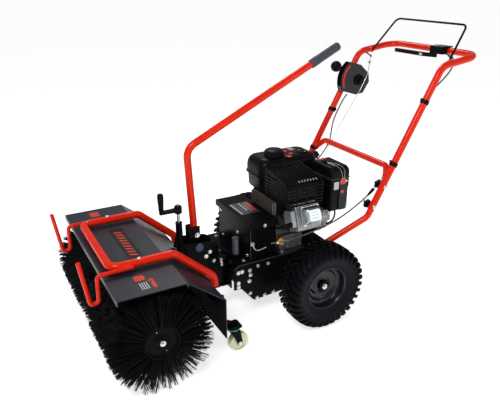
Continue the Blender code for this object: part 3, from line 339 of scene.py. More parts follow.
class Shape:
    """A mesh put together from simple forms, which becomes one piece."""

    def __init__(self):
        self.bm = bmesh.new()

    def lathe(self, profile, origin, direction, sides=40, closed=False):
        """Revolve (radius, along) points about a direction through an origin."""
        turn = Vector(direction).to_track_quat("Z", "Y").to_matrix()
        origin = Vector(origin)
        rings = []
        for radius, along in profile:
            if radius < 1e-6:
                rings.append([self.bm.verts.new(origin + turn @ Vector((0, 0, along)))] * sides)
                continue
            angles = [2 * math.pi * (i + 0.5) / sides for i in range(sides)]
            ring = [Vector((radius * math.cos(a), radius * math.sin(a), along)) for a in angles]
            rings.append([self.bm.verts.new(origin + turn @ p) for p in ring])
        pairs = list(zip(rings, rings[1:]))
        if closed:
            pairs.append((rings[-1], rings[0]))
        for first, second in pairs:
            for i in range(sides):
                j = (i + 1) % sides
                corners = list(dict.fromkeys((first[i], first[j], second[j], second[i])))
                if len(corners) > 2:
                    self.bm.faces.new(corners)
        return self

    def rod(self, start, end, radius, sides=24):
        """A round bar between two points, with slightly broken edges."""
        start, end = Vector(start), Vector(end)
        length = (end - start).length
        edge = min(radius * 0.2, 0.0008)
        profile = [
            (0, 0), (radius - edge, 0), (radius, edge), (radius, length - edge),
            (radius - edge, length), (0, length),
        ]
        return self.lathe(profile, start, end - start, sides)

    def prism(self, outline, axis, low, high):
        """Extrude a flat outline along an axis. The outline holds the two other coordinates."""
        index = "XYZ".index(axis)

        def corner(point, along):
            place = list(point)
            place.insert(index, along)
            return self.bm.verts.new(place)

        return self.loft([[corner(p, along) for p in outline] for along in (low, high)])

    def loft(self, rings):
        """Skin a row of rings of vertices, and close the first and the last."""
        for first, second in zip(rings, rings[1:]):
            for i in range(len(first)):
                j = (i + 1) % len(first)
                self.bm.faces.new((first[i], first[j], second[j], second[i]))
        self.bm.faces.new(rings[0])
        self.bm.faces.new(rings[-1])
        return self

    def plate(self, low, high, corner, axis, start, end):
        """A plate with round corners, between two stations on an axis."""
        return self.prism(round_box(low, high, corner), axis, start, end)

    def box(self, low, high):
        """A box between two corners."""
        outline = [(low[0], low[1]), (high[0], low[1]), (high[0], high[1]), (low[0], high[1])]
        return self.prism(outline, "Z", low[2], high[2])

    def row(self, count, step, low, high):
        """Equal boxes, each a step on from the one before."""
        for i in range(count):
            shift = Vector(step) * i
            self.box(Vector(low) + shift, Vector(high) + shift)
        return self

    def upright(self, profile, place, sides=40, closed=False):
        """Revolve (radius, height) points about the vertical line through a place on the ground."""
        return self.lathe(profile, (*place, 0), Z, sides, closed)

    def sleeve(self, inner, outer, length, place, direction, sides=32):
        """A plain round wall about a line."""
        wall = [(inner, 0), (outer, 0), (outer, length), (inner, length)]
        return self.lathe(wall, place, direction, sides, closed=True)

    def tube(self, path, radius, sides=24):
        """Sweep a round section along a path, with closed ends. radius may be a list."""
        path = [Vector(p) for p in path]
        radii = radius if isinstance(radius, list) else [radius] * len(path)
        tangents = [(b - a).normalized() for a, b in zip(path, path[1:])]
        along = [tangents[0]]
        along += [(a + b).normalized() for a, b in zip(tangents, tangents[1:])]
        along.append(tangents[-1])
        side = along[0].orthogonal().normalized()
        rings = []
        for point, ahead, size in zip(path, along, radii):
            side = (side - ahead * side.dot(ahead)).normalized()
            up = ahead.cross(side)
            angles = [2 * math.pi * i / sides for i in range(sides)]
            spread = [side * math.cos(a) + up * math.sin(a) for a in angles]
            rings.append([self.bm.verts.new(point + size * s) for s in spread])
        return self.loft(rings)

    def ring(self, centre, direction, radius, thickness, sides=40):
        """A round ring, such as a weld bead or a rolled edge."""
        section = arc((radius, 0), thickness, 0, 315, 7)
        return self.lathe(section, centre, direction, sides, closed=True)

    def bolt(self, place, direction, size=0.006, washer=True):
        """A hexagon bolt head on its washer."""
        if washer:
            disc = [
                (0, 0), (size * 1.45, 0), (size * 1.5, 0.0006), (size * 1.42, 0.0016), (0, 0.0016),
            ]
            self.lathe(disc, place, direction, 24)
        top = size * 0.75 + 0.0016
        head = [(0, 0.0012), (size, 0.0012), (size, top - 0.0008), (size * 0.86, top), (0, top)]
        return self.lathe(head, place, direction, 6)

    def dome(self, place, direction, size=0.008):
        """A round bolt head."""
        profile = [
            (0, 0), (size, 0), (size * 0.97, size * 0.2), (size * 0.75, size * 0.45),
            (size * 0.4, size * 0.6), (0, size * 0.65),
        ]
        return self.lathe(profile, place, direction, 24)

    def ball(self, centre, radius, sides=32):
        """A sphere."""
        angles = [math.radians(-90 + 180 * i / 16) for i in range(17)]
        profile = [(max(radius * math.cos(a), 0.0), radius * math.sin(a)) for a in angles]
        profile[0] = (0, -radius)
        profile[-1] = (0, radius)
        return self.lathe(profile, centre, Z, sides)

    def made(self, name, look, node=None, body="chassis", slot=None, soft=0.0, crease=35):
        """Turn the shape into a piece that rides on a body and may replace a CAD node."""
        bmesh.ops.translate(self.bm, vec=Vector((0, FRAME_Y, 0)), verts=self.bm.verts)
        bmesh.ops.recalc_face_normals(self.bm, faces=self.bm.faces)
        mesh = bpy.data.meshes.new(name)
        self.bm.to_mesh(mesh)
        self.bm.free()
        dress(name, mesh, look, node, body, soft, crease)


def dress(name, mesh, look, node, body, soft=0.0, crease=35):
    """Link a mesh as a piece, with its finish, shading, soft edges, body and replaced node."""
    mesh.shade_smooth()
    mesh.set_sharp_from_angle(angle=math.radians(crease))
    mesh.materials.append(look.material)
    piece = bpy.data.objects.new(name, mesh)
    bpy.context.scene.collection.objects.link(piece)
    if soft:
        bevel = piece.modifiers.new("soft edges", "BEVEL")
        bevel.width = soft
        bevel.segments = 3
        bevel.limit_method = "ANGLE"
        bevel.angle_limit = math.radians(40)
        bevel.harden_normals = True
    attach(piece, body)
    if node:
        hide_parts(node)


# ---------------------------------------------------------------- carried-over CAD nodes
NODE_LOOK = {
    "hood": HOOD,
    "crankcase": DARK_ALLOY,
    "gearcase": BLACK,
    "carburettor": ALLOY,
    "brush_gearbox": DARK_ALLOY,
    "selector_housing": RIM,
}


def carried_nodes():
    """Give every CAD node its finish."""
    for part in frame["record"]["subparts"]:
        node = frame["nodes"][part["node"]]
        look = NODE_LOOK.get(part["node"], SLOT_LOOK[part["material_slot"]])
        node.data.materials.clear()
        node.data.materials.append(look.material)


# ---------------------------------------------------------------- wheels
def tread_block(lugs, centre, flank, start, stations, wide):
    """One slanting rubber block of the tread, from its (across, top radius) stations."""
    rings = []
    for x, top in stations:
        lean = start + 2.6 * x
        root = top - 0.016
        corners = ((-1.0, root), (1.0, root), (0.80, top), (-0.80, top))
        angles = [(lean + edge * wide, radius) for edge, radius in corners]
        across = (min(x, 0.0550), min(x, 0.0550), x, x)
        ring = []
        for (angle, radius), reach in zip(angles, across):
            point = (flank * reach, radius * math.cos(angle), radius * math.sin(angle))
            ring.append(lugs.bm.verts.new(Vector(point) + Vector(centre)))
        rings.append(ring)
    lugs.loft(rings)


def tyre(side, hand):
    """Turned carcass with ribbed sidewalls, under a ring of angled snow-tread lugs."""
    centre = (side * WHEEL_X, 0, WHEEL_Z)
    half = [
        (0.0873, 0.040), (0.090, 0.0435), (0.0945, 0.0455), (0.0965, 0.0450), (0.099, 0.0475),
        (0.112, 0.0535), (0.126, 0.0565), (0.1275, 0.0572), (0.129, 0.0565), (0.136, 0.0555),
        (0.1435, 0.0500), (0.149, 0.042), (0.1525, 0.029), (0.1535, 0.015),
    ]
    outer = half + [(r, -x) for r, x in reversed(half)]
    inner = [(0.0873, -0.034), (0.102, -0.038), (0.128, -0.046), (0.146, -0.036)]
    inner += [(r, -x) for r, x in reversed(inner)]
    carcass = Shape().lathe(outer + inner, centre, X, 96, closed=True)
    body = "wheel_" + hand
    carcass.made("tyre_carcass_" + hand, SIDEWALL, "tyre_" + hand, body=body, crease=60)
    lugs = Shape()
    count = 34
    inner_block = [(0.0015, 0.1650), (0.010, 0.1650), (0.018, 0.1649), (0.025, 0.1646)]
    outer_block = [
        (0.0295, 0.1642), (0.040, 0.1628), (0.0485, 0.1598), (0.0545, 0.1540), (0.0580, 0.1470),
        (0.0592, 0.1400), (0.0588, 0.1345),
    ]
    for flank in (-1, 1):
        for i in range(count):
            start = 2 * math.pi * (i + (0.5 if flank > 0 else 0.0)) / count
            tread_block(lugs, centre, flank, start, inner_block, 0.051)
            tread_block(lugs, centre, flank, start + 0.045, outer_block, 0.050)
    lugs.made("tyre_lugs_" + hand, TYRE, body=body, soft=0.0012)


def rim(side, hand):
    """Dished wheel disc with a rolled lip, hub collar, end bolt, valve and half shaft."""
    centre = Vector((side * WHEEL_X, 0, WHEEL_Z))
    out = X * side
    inboard = 0.1003 - WHEEL_X
    face = [
        (0.0155, 0.012), (0.0180, 0.010), (0.0190, 0.006), (0.030, 0.001), (0.045, 0.000),
        (0.057, 0.002), (0.0620, 0.007), (0.0655, 0.0125), (0.070, 0.0145), (0.0755, 0.0150),
        (0.0775, 0.018), (0.0785, 0.034), (0.0805, 0.0385), (0.0835, 0.0418), (0.0858, 0.0420),
        (0.0868, 0.0400), (0.0868, -0.0400), (0.085, -0.043), (0.079, -0.036), (0.074, -0.010),
        (0.030, -0.010), (0.022, -0.014), (0.022, -0.035), (0.0155, -0.035),
    ]
    body = "wheel_" + hand
    disc = Shape().lathe(face, centre, out, 96, closed=True)
    disc.ring(centre + out * 0.0150, out, 0.0725, 0.0012, 72)
    disc.made("rim_disc_" + hand, RIM, "rim_" + hand, body=body, crease=40)
    hub = [
        (0, 0.019), (0.0145, 0.019), (0.0155, 0.0185), (0.0170, 0.0215), (0.0205, 0.0215),
        (0.0215, 0.0195), (0.0220, 0.0075), (0.0150, 0.004), (0.0125, 0.002), (0.0125, inboard),
        (0, inboard),
    ]
    Shape().lathe(hub, centre, out, 48).made("hub_collar_" + hand, BLACK, body=body)
    washer = [(0, 0.0185), (0.0110, 0.0185), (0.0112, 0.0235), (0.0104, 0.0250), (0, 0.0252)]
    bolt = Shape().lathe(washer, centre, out)
    bolt.bolt(centre + out * 0.0242, out, 0.0066, False)
    bolt.made("hub_bolt_" + hand, ZINC, body=body)
    foot = centre + out * 0.003 + Vector((0, -0.047, -0.012))
    valve = Shape().rod(foot - out * 0.006, foot + out * 0.016, 0.0036, 20)
    valve.rod(foot + out * 0.016, foot + out * 0.025, 0.0046, 12)
    valve.made("valve_" + hand, PLASTIC, body=body)


# ---------------------------------------------------------------- brush
def bristle_half(side, hand):
    """Thousands of stiff filaments, in tufts, standing out of one half of the drum."""
    rng = random.Random(11 + side)
    points, faces = [], []
    rows, tufts, hairs = 30, 52, 6
    first_x, last_x = 0.050, 0.366
    for row in range(rows):
        x_row = first_x + (last_x - first_x) * row / (rows - 1)
        edge = max(0.0, (row - rows + 4) / 3)
        for k in range(tufts * hairs):
            tuft = k // hairs
            tuft_rng = random.Random(1000 * row + tuft + 7 * side)
            middle = 2 * math.pi * (tuft + 0.5 * (row % 2) + tuft_rng.uniform(-0.3, 0.3)) / tufts
            bend = tuft_rng.gauss(0, 0.016)
            drop = abs(tuft_rng.gauss(0, 0.006))
            tuft_drift = tuft_rng.gauss(0, 0.004) + 0.006 * edge
            angle = middle + rng.gauss(0, 0.020)
            lean = bend + rng.gauss(0, 0.009)
            reach = BRUSH_R - drop - abs(rng.gauss(0, 0.0028)) - 0.0004
            root_x = x_row + rng.uniform(-0.0050, 0.0050)
            tip_x = root_x + tuft_drift + rng.gauss(0, 0.002)
            root_r = 0.0355 if root_x < 0.345 else 0.0620
            stations = (
                (root_r, 0.0, 0.0, 0.00125), (0.55, 0.35, 0.3, 0.00118), (1.0, 1.0, 1.0, 0.00095),
            )
            base = len(points)
            for part, drift, turn, thick in stations:
                radius = part if part < 0.1 else root_r + (reach - root_r) * part
                a = angle + lean * turn
                x = root_x + (tip_x - root_x) * drift
                for corner in range(3):
                    c = 2 * math.pi * corner / 3
                    r = radius if corner else radius - 0.0006
                    swing = a + thick * math.sin(c) / radius
                    y = BRUSH[0] + FRAME_Y + r * math.cos(swing)
                    z = BRUSH[1] + r * math.sin(swing)
                    points.append((side * (x + thick * math.cos(c)), y, z))
            for ring in (base, base + 3):
                for corner in range(3):
                    after = (corner + 1) % 3
                    quad = (corner, after, 3 + after, 3 + corner)
                    faces.append([ring + k for k in quad])
            faces.append((base + 6, base + 7, base + 8))
    mesh = bpy.data.meshes.new("bristles")
    mesh.from_pydata(points, [], faces)
    dress("bristle_ring_" + hand, mesh, BRISTLE, "bristles_" + hand, "brush", crease=180)


def brush_core():
    """Drum with a ribbed core under the bristles, and a dished disc with its bolt at each end."""
    axis_point = (0, BRUSH[0], BRUSH[1])
    shaft = Shape()
    core = Shape()
    bolts = Shape()
    for side in (-1, 1):
        out = X * side
        disc = [
            (0.0125, 0.030), (0.034, 0.034), (0.035, 0.036), (0.035, 0.348), (0.0585, 0.349),
            (0.0610, 0.353), (0.0615, 0.360), (0.0600, 0.3640), (0.0575, 0.3650), (0.0550, 0.3635),
            (0.0535, 0.358), (0.050, 0.3535), (0.038, 0.3525), (0.029, 0.354), (0.025, 0.358),
            (0.021, 0.3595), (0.019, 0.361), (0.017, 0.364), (0, 0.365),
        ]
        shaft.lathe(disc, axis_point, out, 64)
        ribs = [(0.035, 0.049)]
        for i in range(34):
            x = 0.052 + 0.0086 * i
            ribs += [(0.088, x), (0.100, x + 0.0022), (0.100, x + 0.0050), (0.088, x + 0.0068)]
        ribs.append((0.035, 0.346))
        core.lathe(ribs, axis_point, out, 56)
        face = Vector(axis_point) + X * side * 0.3645
        washer = [(0, 0), (0.0100, 0), (0.0102, 0.001), (0.0096, 0.0022), (0, 0.0022)]
        bolts.lathe(washer, face, out, 32)
        bolts.bolt(face + X * side * 0.001, out, 0.0065, False)
    for side in (-1, 1):
        for turn in (110, 290):
            a = math.radians(turn)
            spot = (side * 0.3525, BRUSH[0] + 0.041 * math.cos(a), BRUSH[1] + 0.041 * math.sin(a))
            bolts.dome(spot, X * side, 0.0020)
    shaft.rod((-0.04, *BRUSH), (0.04, *BRUSH), 0.0124, 32)
    shaft.made("brush_drum", BLACK, "brush_shaft", body="brush")
    core.made("bristle_roots", BRISTLE, body="brush")
    bolts.made("brush_end_bolts", ZINC, body="brush")


# ---------------------------------------------------------------- tubes of the handle
def handle_line(distance, side=1):
    """A point on an arm of the handle, from its foot upwards."""
    return Vector((side * HANDLE_X, *HANDLE_FOOT)) + HANDLE_UP * distance


def handle():
    """Upper handle with its brace and weld beads, and the two lower tubes."""
    left = [(HANDLE_X, *HANDLE_FOOT), (HANDLE_X, *HANDLE_KNEE), (HANDLE_X, *HANDLE_REAR)]
    upper = Shape().tube(rounded(left + mirrored(left)[::-1], 0.062, 18), TUBE_R, 32)
    end = [(0.240, 0.316, 0.519), (0.205, 0.345, 0.557)]
    upper.tube(rounded(end + mirrored(end)[::-1], 0.03), 0.0125, 28)
    for side in (-1, 1):
        toward = Vector((side * 0.035, -0.029, -0.038))
        upper.ring((side * 0.2325, 0.3222, 0.5271), toward, 0.0128, 0.0018, 28)
        upper.ring(handle_line(0.001, side), HANDLE_UP, TUBE_R - 0.0006, 0.0008, 32)
    upper.made("handle_tube", RED, "handle_upper", crease=50)
    for side, hand in SIDES:
        run = [
            handle_line(-0.0006), handle_line(-0.026), (0.1635, 0.035, 0.238),
            (0.1635, -0.055, 0.214),
        ]
        if side < 0:
            run = mirrored(run)
        lower = Shape().tube(rounded(run, 0.05), 0.0125, 28)
        lower.made("handle_leg_" + hand, RED, "handle_lower_" + hand, crease=50)
        x = 0.1635 * side
        socket = Shape().tube(
            [(x, 0.075, 0.2665), (x, 0.035, 0.238), (x, -0.055, 0.214)], 0.0142, 28
        )
        socket.made("handle_socket_" + hand, BLACK, crease=50)


def handle_hardware():
    """Bolts of the handle, hand knobs and cable clips."""
    bolts = Shape()
    for side, hand in SIDES:
        for level, y, z in (("upper", 0.304, 0.491), ("lower", 0.257, 0.417)):
            outer = (side * (HANDLE_X + TUBE_R - 0.002), y, z)
            bolts.dome(outer, X * side, 0.0102)
            star_knob(side, hand, level, y, z)
        for y, z in ((0.015, 0.2327), (-0.035, 0.2193)):
            bolts.bolt((side * 0.1755, y, z), X * side, 0.0058)
    bolts.made("handle_bolts", ZINC)
    clips = Shape()
    for distance, side in ((0.20, 1), (0.325, -1), (0.135, -1), (0.46, 1)):
        clips.sleeve(0.0138, 0.0163, 0.016, handle_line(distance - 0.008, side), HANDLE_UP)
        tag = handle_line(distance + 0.008, side) - X * side * 0.019
        clips.box(tag - Vector((0.005, 0.004, 0.010)), tag + Vector((0.005, 0.004, 0.004)))
    clips.made("cable_clips", PLASTIC, soft=0.0008)


def star_knob(side, hand, level, y, z):
    """Five-lobed hand knob with a waisted boss."""
    near = HANDLE_X - TUBE_R - 0.0006
    faces = sorted((side * (near - 0.009), side * (near - 0.023)))
    knob = Shape().prism(lobed((y, z), 0.0163, 0.0019, 5, 60), "X", *faces)
    inward = X * -side
    waist = [(0, 0), (0.0088, 0), (0.0075, 0.004), (0.0080, 0.011), (0, 0.011)]
    knob.lathe(waist, (side * near, y, z), inward, 28)
    crown = [(0, 0), (0.011, 0), (0.0095, 0.0022), (0, 0.0028)]
    knob.lathe(crown, (side * (near - 0.0225), y, z), inward, 28)
    name = f"star_knob_{level}_{hand}"
    knob.made("knob_" + level + "_" + hand, PLASTIC, name, body=name, soft=0.0016)


def bail():
    """Bent wire bail with its two red pivot bushes."""
    y, z = 0.595, 0.9375
    end = HANDLE_X - TUBE_R - 0.001
    left = [(end, y, z), (end - 0.009, y, z), (0.195, 0.700, 1.068)]
    path = rounded(left + mirrored(left)[::-1], [0.004, 0.025, 0.025, 0.004])
    Shape().tube(path, 0.0041, 20).made("bail_rod", BLACK, "bail", body="bail", crease=60)
    bushes = Shape()
    for side in (-1, 1):
        bushes.rod((side * (end - 0.0085), y, z), (side * (end + 0.003), y, z), 0.0118, 28)
    bushes.made("bail_bushes", RED)


def hand_lever():
    """Clutch lever, its clamp with a plain label, and its pivot bolt."""
    y, z = HANDLE_REAR
    arm = [
        (0.055, 0.700), *arc((0.045, 0.702), 0.0098, 10, 100, 6), (0.030, 0.7075), (0.0, 0.6965),
        (-0.11, 0.6925), (-0.166, 0.6910), *arc((-0.168, 0.6848), 0.006, 85, 275, 8),
        (-0.10, 0.6795), (0.0, 0.6815), (0.020, 0.6880), (0.036, 0.6935),
    ]
    lever = Shape().prism(arm, "Z", 0.9285, 0.9445)
    lever.made("squeeze_lever", PLASTIC, "clutch_lever", body="clutch_lever", soft=0.0022)
    clamp = Shape()
    for x in (0.034, 0.078):
        clamp.sleeve(0.0140, 0.0175, 0.010, (x, y, z), X, 36)
    clamp.box((0.034, y + 0.012, z - 0.006), (0.088, y + 0.021, z + 0.006))
    clamp.made("lever_clamp", PLASTIC, soft=0.0012)
    marks = Shape().plate((0.036, 0.698), (0.084, 0.744), 0.004, "Z", z + 0.0186, z + 0.0190)
    marks.made("clamp_label", LABEL, slot="black_plastic")
    band = Shape().box((0.040, 0.703, z + 0.0190), (0.080, 0.709, z + 0.0193))
    band.made("clamp_label_band", PATCH)
    circle = arc((0, 0), 1, 0, math.degrees(0.3 * 20), 20)
    outline = [(-0.014 + 0.0095 * a, 0.9365 + 0.0045 * b) for a, b in circle]
    Shape().prism(outline, "Y", 0.6803, 0.6820).made("lever_mark", INK, body="clutch_lever")
    Shape().bolt((0.045, 0.702, z + 0.0186), Z, 0.0050).made("lever_pivot_bolt", ZINC)


def selector():
    """Gear selector: rim and coloured arc on the case, ball lever, round knob and straps."""
    y, z = SELECTOR
    x_low, x_high = -0.2295, -0.2025
    x = (x_low + x_high) / 2
    trim = Shape()
    for face in (x_low - 0.0008, x_high):
        band = arc((y, z), 0.088, 128, 200, 16) + arc((y, z), 0.080, 200, 128, 16)
        trim.prism(band, "X", face, face + 0.0008)
    trim.made("selector_arc", RED)
    bead = Shape()
    for face in (x_low + 0.0012, x_high - 0.0012):
        bead.tube([(face, *p) for p in arc((y, z), 0.0975, 124, 204, 24)], 0.0019, 12)
    bead.made("selector_rim", PLASTIC, crease=60)
    reach = Vector((-0.114, 0.064)).normalized()
    hub, tip, ball_at = Vector((x, y, z)), reach * 0.118, reach * 0.136
    neck = Vector((0, tip.x, tip.y))
    stem = [hub + neck * part for part in (0, 0.5, 0.8, 1)]
    lever = Shape().tube(stem, [0.0046, 0.0042, 0.0050, 0.0075], 20)
    lever.rod(hub - X * 0.009, hub + X * 0.009, 0.009, 32)
    lever.ball(hub + Vector((0, ball_at.x, ball_at.y)), 0.0235)
    lever.made("selector_ball_lever", PLASTIC, "selector_lever", body="selector_lever")
    profile = [
        (0, 0), (0.0235, 0), (0.0240, 0.001), (0.0240, 0.006), (0.0215, 0.008), (0.0160, 0.009),
        (0.0145, 0.020), (0.0135, 0.023), (0, 0.0237),
    ]
    knob = Shape().lathe(profile, (x_high + 0.0003, y, z), X, 40)
    knob.made("selector_round_knob", PLASTIC, "selector_knob", body="selector_knob")
    strap = Shape()
    for distance in (0.43, 0.49):
        strap.sleeve(0.0138, 0.0158, 0.010, handle_line(distance, -1), HANDLE_UP)
    strap.made("selector_straps", PLASTIC)


CLUTCH_ROUTE = [
    (0.100, 0.712, 0.948),
    (0.160, 0.690, 0.930),
    (0.215, 0.610, 0.895),
    (0.2225, 0.490, 0.800),
    (0.2225, 0.410, 0.655),
    (0.208, 0.378, 0.575),
    (0.202, 0.366, 0.545),
    (0.198, 0.330, 0.500),
    (0.197, 0.285, 0.455),
    (0.202, 0.215, 0.415),
    (0.207, 0.120, 0.376),
    (0.203, 0.020, 0.350),
    (0.182, -0.070, 0.324),
    (0.155, -0.115, 0.310),
    (0.1385, -0.135, 0.304),
]
SELECTOR_ROUTE = [
    (-0.216, 0.462, 0.752),
    (-0.2225, 0.440, 0.715),
    (-0.221, 0.400, 0.640),
    (-0.208, 0.378, 0.575),
    (-0.202, 0.366, 0.545),
    (-0.198, 0.330, 0.500),
    (-0.197, 0.285, 0.455),
    (-0.188, 0.220, 0.375),
    (-0.150, 0.172, 0.285),
    (-0.110, 0.145, 0.222),
    (-0.082, 0.110, 0.188),
    (-0.060, 0.075, 0.180),
]
BAIL_ROUTE = [
    (-0.206, 0.574, 0.912),
    (-0.172, 0.520, 0.812),
    (-0.190, 0.400, 0.600),
    (-0.185, 0.300, 0.430),
    (-0.120, 0.195, 0.275),
    (-0.085, 0.134, 0.232),
]


def cables():
    """The three control cables with their boots and adjusters."""
    clutch = smooth_route(CLUTCH_ROUTE, 140)
    gear = smooth_route(SELECTOR_ROUTE, 120)
    wire = smooth_route(BAIL_ROUTE, 90)
    cable = Shape().tube(clutch, 0.0031, 14)
    cable.tube(clutch[2:9], [0.0036, 0.0058, 0.0062, 0.0062, 0.0058, 0.0050, 0.0034], 18)
    cable.made("clutch_line", SHEATH, "clutch_cable", crease=60)
    line = Shape().tube(gear, 0.0031, 14)
    line.tube(gear[40:48], [0.0034, 0.0052, 0.0058, 0.0058, 0.0056, 0.0052, 0.0046, 0.0034], 18)
    line.made("gear_line", SHEATH, "selector_cable", crease=60)
    Shape().tube(wire, 0.0015, 10).made("bail_line", ZINC, "bail_cable", crease=60)
    Shape().tube(clutch[69:78], 0.0052, 20).made("clutch_adjuster", ZINC, crease=60)
    boot = Shape().tube(clutch[77:83], [0.0060, 0.0064, 0.0062, 0.0056, 0.0048, 0.0038], 18)
    boot.made("clutch_adjuster_boot", PLASTIC, crease=60)
    fittings = Shape()
    for route, places in ((clutch, (60, 84, 128)), (gear, (30, 62)), (wire, (4, 62))):
        for i in places:
            fittings.rod(route[i], route[i + 2], 0.0046, 12)
            fittings.sleeve(0.003, 0.0068, 0.003, route[i + 1], route[i + 2] - route[i], 6)
    fittings.made("cable_adjusters", ZINC)
    tab = Shape().rod((-0.240, 0.574, 0.925), (-0.204, 0.574, 0.9125), 0.0030, 16)
    tab.ball((-0.204, 0.574, 0.9125), 0.0042, 16)
    tab.made("bail_cable_tab", BLACK)


# ---------------------------------------------------------------- brush head
def hood_details():
    """Plain stickers, bolts, stiffening lips, and a matt black liner inside the brush cover that is
    painted shade.
    """
    low, high = PRINT
    band = Shape().box((-0.135, -0.677995, HOOD_TOP + 0.00005), (0.168, -0.628005, low))
    band.made("hood_band", DECAL, body="head", slot="grey_paint")
    strokes = Shape()
    for i in range(9):
        x = -0.108 + 0.024 * i
        outline = [(x, -0.666), (x + 0.011, -0.666), (x + 0.022, -0.641), (x + 0.011, -0.641)]
        strokes.prism(outline, "Z", *PRINT)
    strokes.made("hood_band_blocks", PATCH, body="head")
    lines = Shape()
    lines.row(3, X * 0.008, (0.130, -0.668, low), (0.1335, -0.640, high))
    lines.row(4, Y * 0.0072, (0.290, -0.700, low), (0.333, -0.6974, high))
    lines.row(3, Y * 0.0072, (-0.262, -0.690, low), (-0.225, -0.6874, high))
    lines.made("hood_fine_lines", INK, body="head", slot="grey_paint")
    blocks = Shape().plate((0.243, -0.706), (0.276, -0.672), 0.006, "Z", *PRINT)
    blocks.prism([(0.279, -0.668), (0.298, -0.668), (0.290, -0.652), (0.276, -0.652)], "Z", *PRINT)
    blocks.box((0.290, -0.664, low), (0.335, -0.652, high))
    blocks.box((-0.265, -0.664, low), (-0.205, -0.640, high))
    blocks.plate((-0.330, -0.704), (-0.285, -0.668), 0.006, "Z", *PRINT)
    blocks.made("hood_red_blocks", PATCH, body="head")
    bolts = Shape()
    for side in (-1, 1):
        bolts.dome((side * GUARD_X, -0.664, GUARD_Z + 0.0135), Z, 0.0078)
        for x in (0.07, 0.30):
            bolts.bolt((side * x, HOOD_REAR, 0.150 + 0.06 * (x < 0.1)), Y, 0.0052)
        bolts.bolt((side * GUARD_X, -0.4297, 0.208), Y, 0.0052)
    bolts.made("hood_bolts", ZINC, body="head")
    lips = Shape()
    for side in (-1, 1):
        x = side * 0.3592
        run = [
            (x, -0.4355, 0.118), (x, -0.4355, 0.2665), (x, -0.5635, 0.3663), (x, -0.787, 0.3663),
            (x, -0.787, 0.352),
        ]
        lips.tube(run, 0.0019, 10)
    lips.tube([(-0.359, -0.7873, 0.3508), (0.359, -0.7873, 0.3508)], 0.0019, 10)
    lips.tube([(-0.359, -0.4356, 0.1172), (0.359, -0.4356, 0.1172)], 0.0019, 10)
    lips.made("hood_lips", HOOD, body="head")
    # Matt black sheet just inside the hood's rear and top sheets: painted shade where the inside of
    # the cover lies in shadow
    shade_sheet = Shape()
    inside = [(-0.4376, 0.120), (-0.4376, 0.2650), (-0.5655, 0.3644), (-0.784, 0.3644)]
    under = [(-0.4384, 0.120), (-0.4384, 0.2646), (-0.5658, 0.3636), (-0.784, 0.3636)]
    for low, high in ((0.0405, 0.3580), (-0.3580, -0.0900)):
        shade_sheet.prism(inside + under[::-1], "X", low, high)
    shade_sheet.made("hood_liner", PAINTED_SHADE, body="head")


def guard():
    """Red guard loop with its two hooks, feet and weld beads."""
    side_line = [(-0.398, 0.225), (-0.402, 0.262), (-0.545, GUARD_Z), (-0.758, GUARD_Z)]
    leg = [(GUARD_X, y, z) for y, z in side_line]
    loop = Shape().tube(rounded(leg + mirrored(leg)[::-1], 0.034, 14), GUARD_R, 32)
    x = GUARD_X + GUARD_R + 0.005
    hook_line = [
        (-0.690, 0.385), (-0.806, 0.383), (-0.8085, 0.290), (-0.8355, 0.286), (-0.858, 0.442),
    ]
    bent = rounded([(x, y, z) for y, z in hook_line], 0.0125, 12)
    for side in (-1, 1):
        hook = [(side * p.x, p.y, p.z) for p in bent]
        loop.tube(hook, 0.007, 24)
        loop.rod((side * x, -0.692, 0.385), (side * x, -0.6885, 0.385), 0.0066, 20)
        bead = [
            (side * (GUARD_X + 0.0148), y, 0.3915) for y in (-0.698, -0.710, -0.722, -0.734, -0.744)
        ]
        loop.tube(bead, [0.0022, 0.0030, 0.0026, 0.0031, 0.0020], 10)
        low = side * GUARD_X
        face = HOOD_REAR
        loop.plate((low - 0.014, face), (low + 0.014, -0.395), 0.003, "Z", 0.224, 0.230)
        loop.box((low - 0.014, face, 0.196), (low + 0.014, face + 0.004, 0.230))
    loop.made("guard_loop", RED, "guard_frame", body="head", crease=45)


def swing():
    """Red swing lever with its rubber grip and pivot bolt."""
    corner, end = Vector((0, -0.406, 0.680)), Vector((0, 0.135, 0.9475))
    route = [(0, -0.392, 0.290), (0, -0.392, 0.400), corner, end]
    lever = Shape().tube(rounded(route, 0.055, 18), TUBE_R, 32)
    lever.made("lever_tube", RED, "swing_lever", body="swing_lever", crease=50)
    run = (end - corner).normalized()
    first = end + run * 0.0003
    profile = [
        (0, 0), (0.0137, 0), (0.0137, -0.028), (0.0158, -0.028), (0.0168, -0.0262), (0.0170, 0.005),
        (0.0170, 0.009), (0.0158, 0.0115),
    ]
    for i in range(9):
        start = 0.014 + 0.0095 * i
        profile += [
            (0.0158, start), (0.0164, start + 0.0018), (0.0164, start + 0.0062),
            (0.0158, start + 0.0078),
        ]
    profile += [(0.0164, 0.102), (0.0160, 0.108), (0.0135, 0.1118), (0, 0.1123)]
    grip = Shape().lathe(profile, first, run, 40)
    grip.made("lever_rubber", GRIP, "lever_grip", body="swing_lever")
    bolts = Shape()
    for side in (-1, 1):
        bolts.bolt((side * 0.0182, -0.385, 0.346), X * side, 0.0068)
    bolts.made("lever_bolt", ZINC, body="swing_lever")


